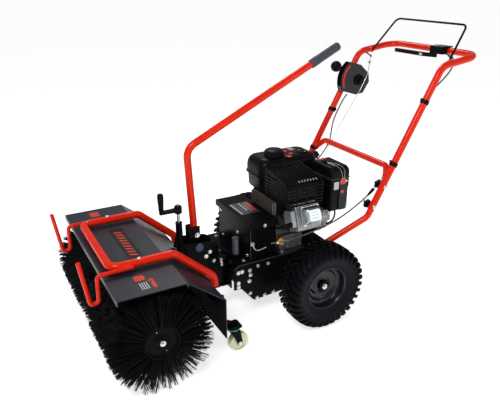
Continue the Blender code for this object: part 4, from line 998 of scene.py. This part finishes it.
def head_details():
    """Blued bosses, bolts and the king bush on the steering head."""
    bosses = Shape()
    boss = [(0, 0), (0.0165, 0), (0.0168, 0.001), (0.0160, 0.0042), (0.0120, 0.0048), (0, 0.0048)]
    for side in (-1, 1):
        bosses.lathe(boss, (side * HEAD_X, -0.389, 0.306), X * side, 40)
    bosses.made("head_bosses", BLUED, body="head")
    bolts = Shape()
    for y, z in (
        (-0.346, 0.277), (-0.3625, 0.262), (-0.330, 0.235), (-0.335, 0.140), (-0.415, 0.160)
    ):
        for side in (-1, 1):
            bolts.bolt((side * HEAD_X, y, z), X * side, 0.0058)
    for x in (0.060, -0.060):
        bolts.bolt((x, -0.4285, 0.235), Y, 0.0055)
        bolts.bolt((x, -0.4285, 0.145), Y, 0.0055)
    bolts.made("head_bolts", ZINC, body="head")
    wall = [(0.0176, 0.189), (0.0215, 0.191), (0.0215, 0.2285), (0.0176, 0.2292)]
    king = Shape().upright(wall, (0, -0.285), closed=True)
    king.made("king_bush", ZINC, body="head", slot="alloy")


def crank():
    """Height screw with rolled thread, chunky arm and grip."""
    x, y = JACK
    thread = [(0, 0.206), (0.0052, 0.206)]
    for i in range(52):
        z = 0.209 + 0.005 * i
        thread += [(0.0058, z), (0.0052, z + 0.0025)]
    thread += [(0.0060, 0.470), (0.0060, 0.478), (0, 0.478)]
    screw = Shape().upright(thread, (x, y), 28)
    screw.bolt((x, y, 0.4995), Z, 0.0050, False)
    pin = (x, y - 0.062)
    screw.rod((*pin, 0.486), (*pin, 0.551), 0.0038, 20)
    screw.made("height_screw", ZINC, "crank", body="crank")
    boss = [
        (0, 0.470), (0.0125, 0.470), (0.0140, 0.474), (0.0138, 0.494), (0.0110, 0.4995),
        (0, 0.5005),
    ]
    arm = Shape().upright(boss, (x, y), 36)
    outline = [
        (x - 0.0125, y), (x - 0.0080, y - 0.030), *arc((x, y - 0.062), 0.0078, 185, 355, 10),
        (x + 0.0080, y - 0.030), (x + 0.0125, y),
    ]
    arm.prism(outline, "Z", 0.4765, 0.4893)
    arm.made("crank_arm", PLASTIC, body="crank", soft=0.002)
    sleeve = [
        (0.0044, 0.4897), (0.0082, 0.4897), (0.0094, 0.493), (0.0090, 0.503), (0.0102, 0.520),
        (0.0112, 0.540), (0.0108, 0.549), (0.0088, 0.5535), (0.0044, 0.554),
    ]
    grip = Shape().upright(sleeve, pin, 36, closed=True)
    grip.made("crank_sleeve", PLASTIC, "crank_grip", body="crank_grip")
    outer = [
        (0.0075, 0.275), (0.0121, 0.275), (0.0121, 0.318), (0.0138, 0.322), (0.0128, 0.380),
        (0.0117, 0.430), (0.0124, 0.4315), (0.0124, 0.4355), (0.0075, 0.436),
    ]
    tube = Shape().upright(outer, (x, y), 40, closed=True)
    tube.made("jack_sleeve", BLACK, "jack_tube", body="head")
    band = [(0.0117, 0.3015), (0.0190, 0.3015), (0.0190, 0.3045), (0.0117, 0.3060)]
    Shape().upright(band, JACK, 36, closed=True).made("jack_collar", BLACK, body="head")


def casters():
    """Swivel casters: pressed forks, nylon wheels, axle bolts and green dust rings."""
    for side, hand in SIDES:
        x, y = side * CASTER[0], CASTER[1]
        axle_y = y + TRAIL
        race = [
            (0, 0.0895), (0.0180, 0.0895), (0.0215, 0.092), (0.0230, 0.096), (0.0230, 0.101),
            (0.0205, 0.1045), (0.016, 0.1062), (0, 0.1062),
        ]
        fork = Shape().upright(race, (x, y), 40)
        fork.plate((x - 0.019, y - 0.015), (x + 0.019, y + 0.020), 0.004, "Z", 0.0845, 0.0905)
        cheek = [
            (y - 0.014, 0.090), (y + 0.020, 0.090), (axle_y + 0.0105, 0.040),
            *arc((axle_y, CASTER_Z), 0.0105, 10, -190, 12), (axle_y - 0.0105, 0.040),
        ]
        for hand_side in (-1, 1):
            faces = sorted((x + hand_side * 0.0162, x + hand_side * 0.0188))
            fork.prism(cheek, "X", *faces)
        name = "caster_fork_" + hand
        swivel = "caster_swivel_" + hand
        fork.made("fork_" + hand, BLACK, name, body=swivel, soft=0.0008)
        ring = Shape().ring((x, y, 0.0990), Z, 0.0226, 0.0028)
        ring.made("dust_ring_" + hand, GREEN, body=swivel)
        bolts = Shape().rod(
            (x - 0.0235, axle_y, CASTER_Z), (x + 0.0235, axle_y, CASTER_Z), 0.0040, 24
        )
        for direction in (-1, 1):
            bolts.bolt((x + direction * 0.0188, axle_y, CASTER_Z), X * direction, 0.0052)
        bolts.made("caster_bolt_" + hand, ZINC, body=swivel)
        rim_line = [
            (0.0043, -0.014), (0.0105, -0.014), (0.0120, -0.0125), (0.0130, -0.0095),
            (0.0270, -0.0095), (0.0285, -0.0125), (0.0330, -0.0130), (0.0360, -0.0105),
            (0.0369, -0.0070),
        ]
        profile = rim_line + [(r, -a) for r, a in reversed(rim_line)]
        wheel = Shape().lathe(profile, (x, axle_y, CASTER_Z), X, 56, True)
        wheel.made(
            "caster_roller_" + hand, NYLON, "caster_wheel_" + hand, body="caster_wheel_" + hand
        )


# ---------------------------------------------------------------- chassis and belt housing
def chassis_details():
    """Bolts of the frame, gearcase and belt housing, and the swing lock's arm and post."""
    bolts = Shape()
    plate = (
        (-0.267, 0.222), (-0.233, 0.219), (-0.197, 0.229), (-0.153, 0.228), (-0.231, 0.199),
        (-0.236, 0.174), (-0.282, 0.177), (-0.282, 0.160), (-0.282, 0.221),
    )
    for side in (-1, 1):
        for y, z in plate:
            bolts.bolt((side * PLATE_X, y, z), X * side, 0.0056)
        for y, z in (
            (-0.174, 0.0560), (-0.140, 0.0585), (-0.100, 0.0610), (-0.205, 0.085), (-0.060, 0.100)
        ):
            bolts.bolt((side * 0.0998, y, z), X * side, 0.0050)
        bolts.bolt((side * 0.1450, -0.166, 0.3880), X * side, 0.0052)
    for x, z in ((0.032, 0.328), (-0.099, 0.262), (0.110, 0.262), (-0.110, 0.370)):
        bolts.bolt((x, -0.2222, z), -Y, 0.0055)
    for x in (-0.12, 0.12):
        bolts.bolt((x, -0.2668, 0.215), -Y, 0.0056)
        bolts.bolt((x, -0.245, DECK), Z, 0.0052)
        bolts.bolt((x, 0.075, DECK), Z, 0.0056)
    bolts.bolt((0, -0.285, 0.2432), Z, 0.0078, False)
    bolts.made("frame_bolts", ZINC)
    lock = (0.088, -0.2605)
    outline = arc(lock, 0.0170, -60, 160, 10) + arc((0.012, -0.2905), 0.010, 130, 280, 8)
    slot_arm = Shape().prism(outline, "Z", 0.2640, 0.2680)
    slot_arm.made("swing_lock_arm", BLACK, slot="grey_paint", soft=0.0008)
    sleeve = [(0.0116, 0.2690), (0.0126, 0.2700), (0.0126, 0.3330), (0.0116, 0.3340)]
    top = [(0, 0.3352), (0.0112, 0.3352), (0.0118, 0.3364), (0.0112, 0.3385), (0, 0.339)]
    post = Shape().upright(sleeve, lock, 36, closed=True).upright(top, lock, 36)
    post.made("lock_post_trim", HIGHLIGHT_GREY)


def worn_edges():
    """Thin pale grey beads along the exposed edges of the deck and the belt housing: painted
    highlights where these edges catch the light.
    """
    edges = Shape()
    for side in (-1, 1):
        x = side * 0.1499
        edges.tube([(x, -0.2990, 0.2355), (x, -0.2828, 0.2498), (x, 0.1290, 0.2498)], 0.0009, 8)
        x = side * 0.1349
        edges.tube([(x, -0.2218, 0.2520), (x, -0.2218, 0.3880)], 0.0008, 8)
    edges.made("worn_edges", HIGHLIGHT_GREY)


def belt_box_details():
    """Lid label and side catch of the belt housing."""
    top = LID_TOP + FILM
    label = Shape().plate((-0.066, -0.214), (0.050, -0.132), 0.004, "Z", LID_TOP, top)
    label.made("lid_label", LABEL)
    lines = Shape().box((-0.060, -0.2085, top), (0.042, -0.2045, top + FILM))
    lines.row(5, X * 0.016, (-0.058, -0.176, top), (-0.047, -0.170, top + FILM))
    lines.row(4, X * 0.020, (-0.048, -0.160, top), (-0.034, -0.157, top + FILM))
    lines.made("lid_label_lines", INK, slot="grey_paint")
    Shape().box((-0.058, -0.150, top), (0.030, -0.137, top + FILM)).made("lid_label_red", PATCH)
    x = 0.141
    hook = [
        (x, -0.214, 0.318), (x, -0.210, 0.303), (x, -0.200, 0.2925), (x, -0.184, 0.2900),
        (x, -0.160, 0.2945),
    ]
    latch = Shape().tube(smooth_route(hook, 40), 0.0026, 16)
    latch.ball((x, -0.160, 0.2945), 0.0029, 16)
    latch.bolt((0.1353, -0.214, 0.318), X, 0.0066)
    latch.made("latch_hook", ZINC, "housing_latch", body="latch")


# ---------------------------------------------------------------- engine
def cylinder():
    """Finned cylinder and head, and its bright valve cover with bolts."""
    fins = Shape()

    def block(shape, start, end, half, low, high):
        corners = [tilted(start, -half), tilted(end, -half), tilted(end, half), tilted(start, half)]
        shape.prism(corners, "Y", low, high)

    block(fins, 0.0785, 0.150, 0.041, -0.039, 0.047)
    for i in range(11):
        start = 0.0815 + 0.0062 * i
        block(fins, start, start + 0.0022, 0.0515, -0.0475, 0.0565)
    fins.made("finned_head", ALLOY, "cylinder_head", soft=0.0005)
    cover = Shape()
    block(cover, 0.1523, 0.1600, 0.0370, -0.0325, 0.0485)
    cover.made("valve_cover_flange", BRIGHT, soft=0.0016)
    cap = Shape()
    base = [
        (0.158, 0.0340, 0.0375), (0.172, 0.0335, 0.0370), (0.1820, 0.0300, 0.0335),
        (0.1915, 0.0220, 0.0260),
    ]
    rings = []
    for along, half, wide in base:
        ring = []
        for across, y in round_box((-half, 0.008 - wide), (half, 0.008 + wide), 0.010, 5):
            x, z = tilted(along, across)
            ring.append(cap.bm.verts.new((x, y, z)))
        rings.append(ring)
    cap.loft(rings)
    cap.made("valve_cover_cap", BRIGHT, "valve_cover", soft=0.0016, crease=25)
    out = Vector((math.cos(HEAD_TILT), 0, math.sin(HEAD_TILT)))
    bolts = Shape()
    for across in (-0.031, 0.031):
        for y in (-0.0265, 0.0425):
            x, z = tilted(0.1600, across)
            bolts.bolt((x, y, z), out, 0.0042)
    bolts.made("valve_cover_bolts", ZINC)
    ribs = Shape()
    for i in range(3):
        x, z = tilted(0.1915, -0.010 + 0.010 * i)
        start = Vector((x, -0.009, z))
        ribs.rod(start, start + Vector((0, 0.034, 0)), 0.0013, 12)
    ribs.made("valve_cover_ribs", BRIGHT)
    corners = [
        tilted(0.090, -0.020), tilted(0.143, -0.036), tilted(0.146, 0.030), tilted(0.090, 0.034),
    ]
    side = Shape().prism(corners, "Y", -0.070, -0.0485)
    side.made("push_rod_side", ALLOY, soft=0.004)
    plug = Shape()
    x, z = tilted(0.140, -0.020)
    boot = [
        Vector((x, -0.070, z)), Vector((x, -0.092, z - 0.002)),
        Vector((x - 0.010, -0.105, z - 0.010)),
    ]
    plug.tube(smooth_route(boot, 14), 0.0088, 24)
    lead = [
        boot[-1], Vector((0.135, -0.112, 0.362)), Vector((0.112, -0.1125, 0.385)),
        Vector((0.080, -0.1115, 0.412)),
    ]
    plug.tube(smooth_route(lead, 30), 0.0035, 14)
    plug.made("spark_plug_boot", PLASTIC, crease=60)


def crankcase_details():
    """Side cover, foot, bolts, two oil caps and the ignition coil round the crankcase."""
    cover = Shape().plate((-0.090, 0.2560), (0.012, 0.318), 0.012, "X", 0.1150, 0.1305)
    cover.made("crankcase_side", CASTING, soft=0.003)
    foot = Shape().box((-0.045, -0.100, 0.2504), (0.150, 0.048, 0.2565))
    foot.made("engine_foot", DARK_ALLOY, soft=0.0015)
    bolts = Shape()
    for y, z in ((-0.055, 0.266), (-0.030, 0.310), (0.002, 0.266), (0.002, 0.308)):
        bolts.bolt((0.1305, y, z), X, 0.0042)
    for x, y in ((0.138, -0.085), (0.138, 0.036)):
        bolts.bolt((x, y, 0.2565), Z, 0.0058)
    for x, z in ((-0.026, 0.282), (0.100, 0.282), (0.096, 0.388), (-0.024, 0.398)):
        bolts.bolt((x, -0.1082, z), -Y, 0.0046)
    bolts.made("crankcase_bolts", ZINC)
    profile = [
        (0, 0), (0.0115, 0), (0.0125, 0.001), (0.0125, 0.0085), (0.0110, 0.0098), (0, 0.0100),
    ]
    cap = Shape().lathe(profile, (0.1310, -0.090, 0.300), X, 36)
    cap.plate((-0.0945, 0.2900), (-0.0855, 0.3100), 0.003, "X", 0.1400, 0.1478)
    cap.made("oil_cap_low", ORANGE, "dipstick", body="dipstick", soft=0.0010)
    Shape().lathe(profile, (0.1175, -0.082, 0.334), (1, 0, 0.15), 36).made("oil_cap_high", ORANGE)
    coil = Shape().plate((0.016, 0.262), (0.052, 0.314), 0.006, "X", 0.1190, 0.1420)
    coil.made("ignition_coil", PLASTIC, soft=0.003)


def muffler_cage():
    """Slatted guard over the exhaust box, and the finned cylinder shroud under it."""
    cage = Shape()
    low_y, high_y = -0.118, 0.043
    roof = [(0.058, 0.578), (0.198, 0.5615), (0.206, 0.557), (0.212, 0.548)]
    slats = 10
    for i in range(slats):
        y = low_y + 0.003 + (high_y - low_y - 0.0156) * i / (slats - 1)
        under = [(x - 0.001, z - 0.0065) for x, z in reversed(roof)]
        cage.prism(roof + under, "Y", y, y + 0.0096)
    rows = 6
    for i in range(rows):
        z = 0.4680 + 0.0130 * i
        cage.box((0.2080, low_y + 0.002, z), (0.2120, high_y - 0.002, z + 0.0078))
        cage.box((0.060, low_y, z), (0.210, low_y + 0.0035, z + 0.0078))
        cage.box((0.060, high_y - 0.0035, z), (0.210, high_y, z + 0.0078))
    for y in (low_y, high_y - 0.0035):
        cage.box((0.060, y, 0.5460), (0.206, y + 0.0035, 0.5530))
        cage.box((0.060, y, 0.5590), (0.150, y + 0.0035, 0.5650))
        edge = [(0.058, 0.578), *roof[1:], (0.207, 0.545), (0.199, 0.5545), (0.059, 0.571)]
        cage.prism(edge, "Y", y, y + 0.0035)
    for y in (low_y, high_y - 0.006):
        cage.box((0.2055, y, 0.4665), (0.2112, y + 0.006, 0.5490))
        cage.box((0.0585, y, 0.4665), (0.0645, y + 0.006, 0.5740))
    for y in (-0.074, -0.030, 0.010):
        cage.box((0.2075, y, 0.4665), (0.2108, y + 0.005, 0.5480))
    for x in (0.105, 0.155):
        cage.box((x, low_y + 0.0003, 0.4665), (x + 0.005, low_y + 0.003, 0.5600))
    cage.box((0.0585, low_y, 0.5690), (0.0640, high_y, 0.5765))
    cage.made("muffler_cage", BLACK, "muffler_guard", slot="grey_paint", soft=0.0010)
    slits = Shape()
    slit = [(0.1975, 0.5618), (0.2050, 0.5580), (0.2052, 0.5586), (0.1977, 0.5624)]
    for i in range(7):
        y = -0.062 + 0.0125 * i
        slits.prism(slit, "Y", y, y + 0.0050)
    slits.made("muffler_cage_slits", ALLOY)
    inner = Shape().prism(round_box((0.082, 0.480), (0.195, 0.540), 0.018, 8), "Y", -0.103, 0.018)
    inner.rod((0.135, -0.03, 0.4585), (0.135, -0.03, 0.485), 0.012, 28)
    inner.made("muffler_box", DARK_ALLOY, "muffler", slot="black_paint", soft=0.003)
    strip = Shape().row(12, X * 0.0145, (-0.052, -0.1165, 0.4080), (-0.0478, -0.1020, 0.4550))
    strip.box((-0.056, -0.1085, 0.4060), (0.118, -0.1030, 0.4590))
    strip.made("shroud_fins", TAN, soft=0.0008)
    outline = [(-0.060, 0.4040), (0.122, 0.4040), (0.122, 0.4640), (-0.060, 0.4640)]
    shroud = Shape().prism(outline, "Y", -0.1025, 0.040)
    shroud.made("cylinder_shroud", BLACK, soft=0.004)


def tank():
    """Pressed fuel tank with seam flange, crowned top, cap and plain coloured films."""
    body = Shape()

    def layer(inset, corner, z):
        outline = round_box(
            (-0.100 + inset, -0.126 + inset), (0.052 - inset, 0.138 - inset), corner, 10
        )
        return [body.bm.verts.new((x, y, z)) for x, y in outline]

    heights = [
        (0.022, 0.026, 0.4685), (0.012, 0.030, 0.4720), (0.007, 0.034, 0.4800),
        (0.004, 0.037, 0.5300), (-0.003, 0.043, 0.5305), (-0.0032, 0.043, 0.5342),
        (0.0005, 0.040, 0.5352), (0.0003, 0.040, 0.5600), (0.003, 0.038, 0.5760),
        (0.009, 0.034, 0.5880), (0.018, 0.028, 0.5955), (0.030, 0.018, TANK_TOP),
        (0.044, 0.010, 0.6000),
    ]
    body.loft([layer(*values) for values in heights])
    for x in (-0.015, 0.025):
        body.box((x, -0.080, 0.4305), (x + 0.020, -0.020, 0.470))
    body.made("tank_shell", PLASTIC, "fuel_tank", slot="black_paint", crease=30)
    cap = Shape().prism(lobed(FILLER, 0.0375, 0.0011, 24, 96), "Z", 0.6015, 0.6190)
    crown = [(0, 0.618), (0.0370, 0.618), (0.0355, 0.6225), (0.0300, 0.6258), (0, 0.6268)]
    cap.upright(crown, FILLER, 48)
    cap.made("tank_cap", PLASTIC, "fuel_cap", body="fuel_cap", soft=0.0006)
    films = Shape()
    spots = (
        ((-0.050, 0.014), (-0.022, 0.030)), ((0.020, -0.006), (0.044, 0.012)),
        ((-0.004, 0.022), (0.014, 0.036)), ((-0.069, -0.004), (-0.060, 0.060)),
    )
    for low, high in spots:
        films.prism(round_box(low, high, 0.003), "Z", TANK_TOP, 0.6004)
    films.made("tank_red_films", PATCH)
    disc = [
        (0, 0.5985), (0.0220, 0.5985), (0.0220, 0.6015), (0.0195, 0.6040), (0.0095, 0.6040),
        (0.0080, 0.6022), (0, 0.6022),
    ]
    Shape().upright(disc, (0.006, 0.080), 40).made("tank_vent", PLASTIC)
    dots = Shape()
    for step in (-1, 1):
        dots.dome((0.006 + 0.0125 * step, 0.080 + 0.006 * step, 0.6040), Z, 0.0024)
    dots.made("tank_vent_dots", INK)
    plate = Shape().plate((-0.070, 0.046), (-0.030, 0.072), 0.003, "Z", TANK_TOP, 0.6003)
    plate.made("tank_plate", SILVER_TAPE)


# ---------------------------------------------------------------- air cleaner
def air_filter():
    """Air cleaner with a lapped cover, nut and strap, plain labels and a hang tag on a wire."""
    outline = [(0.108, 0.414), (0.206, 0.414), (0.2090, 0.420), (0.2110, 0.520), (0.108, 0.520)]
    case = Shape().prism(outline, "Y", 0.082, 0.160)
    case.made("air_case", PLASTIC, "air_cleaner", soft=0.006)
    top = [
        (0.213, 0.500), (0.213, 0.556), *arc((0.188, 0.5630), 0.0250, 5, 90, 10),
        *arc((0.088, 0.5680), 0.020, 90, 180, 6), (0.068, 0.478), (0.108, 0.474), (0.108, 0.500),
    ]
    cover = Shape().prism(top, "Y", 0.0790, 0.1630)
    cover.made("air_cover", PLASTIC, soft=0.010)
    seam = Shape().box((0.0680, 0.0784, 0.5440), (0.2136, 0.1636, 0.5458))
    seam.made("air_cover_seam", SHEATH, soft=0.0006)
    label = Shape().plate((0.090, 0.504), (0.112, 0.534), 0.002, "X", 0.2126, 0.2134)
    label.made("air_label", SILVER_TAPE)
    band = Shape().plate((0.117, 0.5285), (0.149, 0.5365), 0.001, "X", 0.2144, 0.2150)
    band.made("air_strap_band", INK)
    strap = Shape().plate((0.116, 0.418), (0.150, 0.540), 0.005, "X", 0.2080, 0.2146)
    strap.made("air_strap", DECAL, soft=0.0010)
    disc = [(0, 0), (0.0070, 0), (0.0070, 0.0005), (0, 0.0005)]
    Shape().lathe(disc, (0.2146, 0.129, 0.492), X, 30).made("air_strap_dot", PATCH)
    Shape().bolt((0.2100, 0.1545, 0.432), X, 0.0052).made("air_case_bolt", ZINC)
    tag = Shape().plate((0.118, 0.522), (0.140, 0.546), 0.002, "X", 0.2152, 0.2162)
    tag.made("hang_tag", PATCH)
    wire = Shape()
    knob = (0.130, 0.104)
    for spread in (-0.008, 0.008):
        string = [
            (0.1405, 0.106, 0.5915), (0.152, 0.109 + spread * 0.5, 0.5900),
            (0.172, 0.115 + spread, 0.5898), (0.190, 0.120 + spread, 0.5896),
            (0.2035, 0.124 + spread, 0.5852), (0.2125, 0.127 + spread, 0.5755),
            (0.2158, 0.129 + spread * 0.7, 0.560), (0.2160, 0.129 + spread * 0.4, 0.545),
        ]
        wire.tube(smooth_route(string, 56), 0.0008, 8)
    wire.made("tag_wire", SILVER_TAPE, slot="zinc")
    profile = [
        (0, 0.5870), (0.0170, 0.5870), (0.0170, 0.5890), (0.0100, 0.5895), (0.0090, 0.5950),
        (0, 0.5955),
    ]
    Shape().upright(profile, knob, 32).made("air_cover_nut", PLASTIC)
    patch = Shape().plate((0.090, 0.092), (0.100, 0.134), 0.002, "Z", 0.5878, 0.5884)
    patch.made("air_cover_patch", PATCH)


# ---------------------------------------------------------------- starter and carburettor
def cowl():
    """Fan housing with a ribbed recoil dome, pull grip, switch and bolts."""
    front = 0.0523
    profile = [
        (0.0895, 0.000), (0.0925, 0.000), (0.0935, 0.002), (0.0935, 0.084), (0.0905, 0.0925),
        (0.086, 0.0975), (0.0735, 0.0985), (0.0710, 0.1000), (0.0660, 0.1120), (0.0600, 0.1165),
        (0.0300, 0.1180), (0, 0.1180), (0, 0.0930), (0.0895, 0.0930),
    ]
    shell = Shape().lathe(profile, (COWL[0], front, COWL[1]), Y, 72)
    shell.made("cowl_shell", PLASTIC, "fan_cowl", crease=30)
    slots = Shape()
    for ring_radius, count, length in ((0.046, 22, 0.022), (0.0805, 30, 0.008)):
        back = front + (0.1178 if ring_radius < 0.06 else 0.0985)
        for i in range(count):
            a = 2 * math.pi * i / count
            out = Vector((math.cos(a), 0, math.sin(a)))
            across = Vector((-math.sin(a), 0, math.cos(a)))
            middle = Vector((COWL[0], back, COWL[1])) + out * ring_radius
            slots.rod(
                middle - out * length / 2, middle + out * length / 2 + across * 0.002, 0.0016, 10
            )
    slots.made("cowl_ribs", DARK_ALLOY, slot="black_plastic")
    grip = Shape()
    x, z = 0.050, 0.400
    grip.plate((x - 0.030, 0.1885), (x + 0.030, 0.2035), 0.006, "Z", z - 0.008, z + 0.008)
    grip.rod((x, 0.1709, z), (x, 0.190, z), 0.0068, 28)
    grip.made("starter_grip", PLASTIC, "recoil_grip", body="recoil_grip", soft=0.003)
    switch = Shape().plate((-0.0578, 0.3175), (-0.0462, 0.3315), 0.002, "Y", 0.1528, 0.1600)
    switch.made("stop_switch", ORANGE, "engine_switch", body="engine_switch", soft=0.0012)
    bolts = Shape()
    for turn in (35, 155, 275):
        a = math.radians(turn)
        spot = (COWL[0] + 0.0865 * math.cos(a), front + 0.097, COWL[1] + 0.0865 * math.sin(a))
        bolts.bolt(spot, Y, 0.0042)
    bolts.made("cowl_bolts", ZINC)


def carburettor_details():
    """Carburettor, governor spring and rod, hoses, choke tab, intake elbow and bracket."""
    bowl = [
        (0, 0.3262), (0.0060, 0.3262), (0.0060, 0.3290), (0.0195, 0.3300), (0.0200, 0.3320),
        (0.0200, 0.3560), (0.0215, 0.3570), (0.0215, 0.3600), (0.0175, 0.3655), (0, 0.366),
    ]
    metal = Shape().upright(bowl, (0.147, 0.090), 40)
    metal.plate((0.126, 0.064), (0.168, 0.115), 0.004, "Z", 0.3605, 0.4075)
    metal.plate((0.122, 0.060), (0.172, 0.066), 0.002, "Z", 0.3600, 0.4080)
    metal.rod((0.158, 0.074, 0.392), (0.177, 0.074, 0.392), 0.0050, 20)
    metal.rod((0.150, 0.084, 0.402), (0.150, 0.084, 0.4125), 0.0042, 20)
    metal.box((0.170, 0.066, 0.380), (0.174, 0.084, 0.402))
    metal.made("carburettor_body", ALLOY, "carburettor", soft=0.0012)
    links = Shape()
    coil = []
    for i in range(121):
        a = 2 * math.pi * i / 10
        t = i / 120
        coil.append((0.190 + 0.0030 * math.cos(a), 0.048 + 0.030 * t, 0.402 + 0.0030 * math.sin(a)))
    links.tube(coil, 0.0006, 6)
    links.rod((0.186, 0.000, 0.352), (0.189, 0.048, 0.402), 0.0010, 8)
    links.bolt((0.1742, 0.080, 0.386), X, 0.0036)
    links.made("governor_links", ZINC)
    hose = [
        (0.020, 0.100, 0.470), (0.075, 0.098, 0.440), (0.112, 0.102, 0.405), (0.130, 0.108, 0.380),
    ]
    line = Shape().tube(smooth_route(hose, 30), 0.0034, 16)
    loop = [
        (0.176, 0.120, 0.418), (0.183, 0.124, 0.395), (0.180, 0.120, 0.368), (0.171, 0.106, 0.350),
        (0.160, 0.094, 0.346),
    ]
    line.tube(smooth_route(loop, 30), 0.0034, 16)
    line.made("fuel_hoses", PLASTIC, crease=60)
    choke = Shape().rod((0.1722, 0.098, 0.392), (0.181, 0.098, 0.392), 0.0042, 20)
    choke.prism(
        [(0.094, 0.391), (0.102, 0.391), (0.101, 0.4075), (0.095, 0.4075)], "X", 0.1762, 0.1792
    )
    choke.box((0.1762, 0.0945, 0.4040), (0.1895, 0.1015, 0.4072))
    choke.made("choke_tab", ZINC, "choke_lever", body="choke", soft=0.0006)
    elbow = Shape().plate((0.062, 0.408), (0.158, 0.470), 0.016, "Y", 0.0450, 0.0818)
    elbow.made("intake_elbow", PLASTIC, soft=0.004)
    bracket = Shape().box((0.105, 0.030, 0.2570), (0.128, 0.060, 0.2850))
    bracket.rod((0.116, 0.0605, 0.266), (0.128, 0.0605, 0.266), 0.008, 24)
    bracket.made("control_bracket", BLACK, soft=0.002)


# ---------------------------------------------------------------- stage
def studio():
    """Pale floor, soft lights and the camera."""
    ground = bpy.data.materials.new("floor")
    ground.use_nodes = True
    shader = ground.node_tree.nodes["Principled BSDF"]
    shader.inputs["Base Color"].default_value = (0.85, 0.85, 0.85, 1)
    shader.inputs["Roughness"].default_value = 0.6
    shader.inputs["Specular IOR Level"].default_value = 0.2
    shader.inputs["Emission Color"].default_value = (1, 1, 1, 1)
    shader.inputs["Emission Strength"].default_value = 0.70
    mesh = bpy.data.meshes.new("floor")
    size = 80
    corners = [(-size, -size, 0), (size, -size, 0), (size, size, 0), (-size, size, 0)]
    mesh.from_pydata(corners, [], [(0, 1, 2, 3)])
    mesh.materials.append(ground)
    floor = bpy.data.objects.new("floor", mesh)
    bpy.context.scene.collection.objects.link(floor)
    world = bpy.data.worlds.new("studio")
    world.use_nodes = True
    world.node_tree.nodes["Background"].inputs["Color"].default_value = (1.0, 1.0, 1.0, 1)
    world.node_tree.nodes["Background"].inputs["Strength"].default_value = 0.32
    bpy.context.scene.world = world
    lights = (
        ("key", (1.2, -1.8, 2.8), 46, 1.0),
        ("fill", (3.0, 1.6, 1.4), 14, 1.2),
        ("rim", (-1.8, 0.6, 2.8), 26, 0.9),
    )
    for name, place, power, width in lights:
        data = bpy.data.lights.new(name, "AREA")
        data.energy = power
        data.size = width
        lamp = bpy.data.objects.new(name, data)
        lamp.location = place
        aim = Vector((0, 0, 0.45)) - Vector(place)
        lamp.rotation_euler = aim.to_track_quat("-Z", "Y").to_euler()
        bpy.context.scene.collection.objects.link(lamp)
    scene = bpy.context.scene
    scene.view_settings.view_transform = "Standard"
    data = bpy.data.cameras.new("camera")
    data.lens = 40.1
    data.sensor_width = 36
    data.shift_x = -0.0064
    data.shift_y = -0.0016
    camera = bpy.data.objects.new("camera", data)
    camera.location = (1.768, -1.109 + FRAME_Y, 1.256)
    camera.rotation_euler = (math.radians(90 - 22.47), 0, math.radians(61.19))
    scene.collection.objects.link(camera)
    scene.camera = camera


carried_nodes()
for SIDE, HAND in SIDES:
    tyre(SIDE, HAND)
    rim(SIDE, HAND)
    bristle_half(SIDE, HAND)
brush_core()
handle()
handle_hardware()
bail()
hand_lever()
selector()
cables()
hood_details()
guard()
swing()
head_details()
crank()
casters()
chassis_details()
worn_edges()
belt_box_details()
cylinder()
crankcase_details()
muffler_cage()
tank()
air_filter()
cowl()
carburettor_details()
studio()
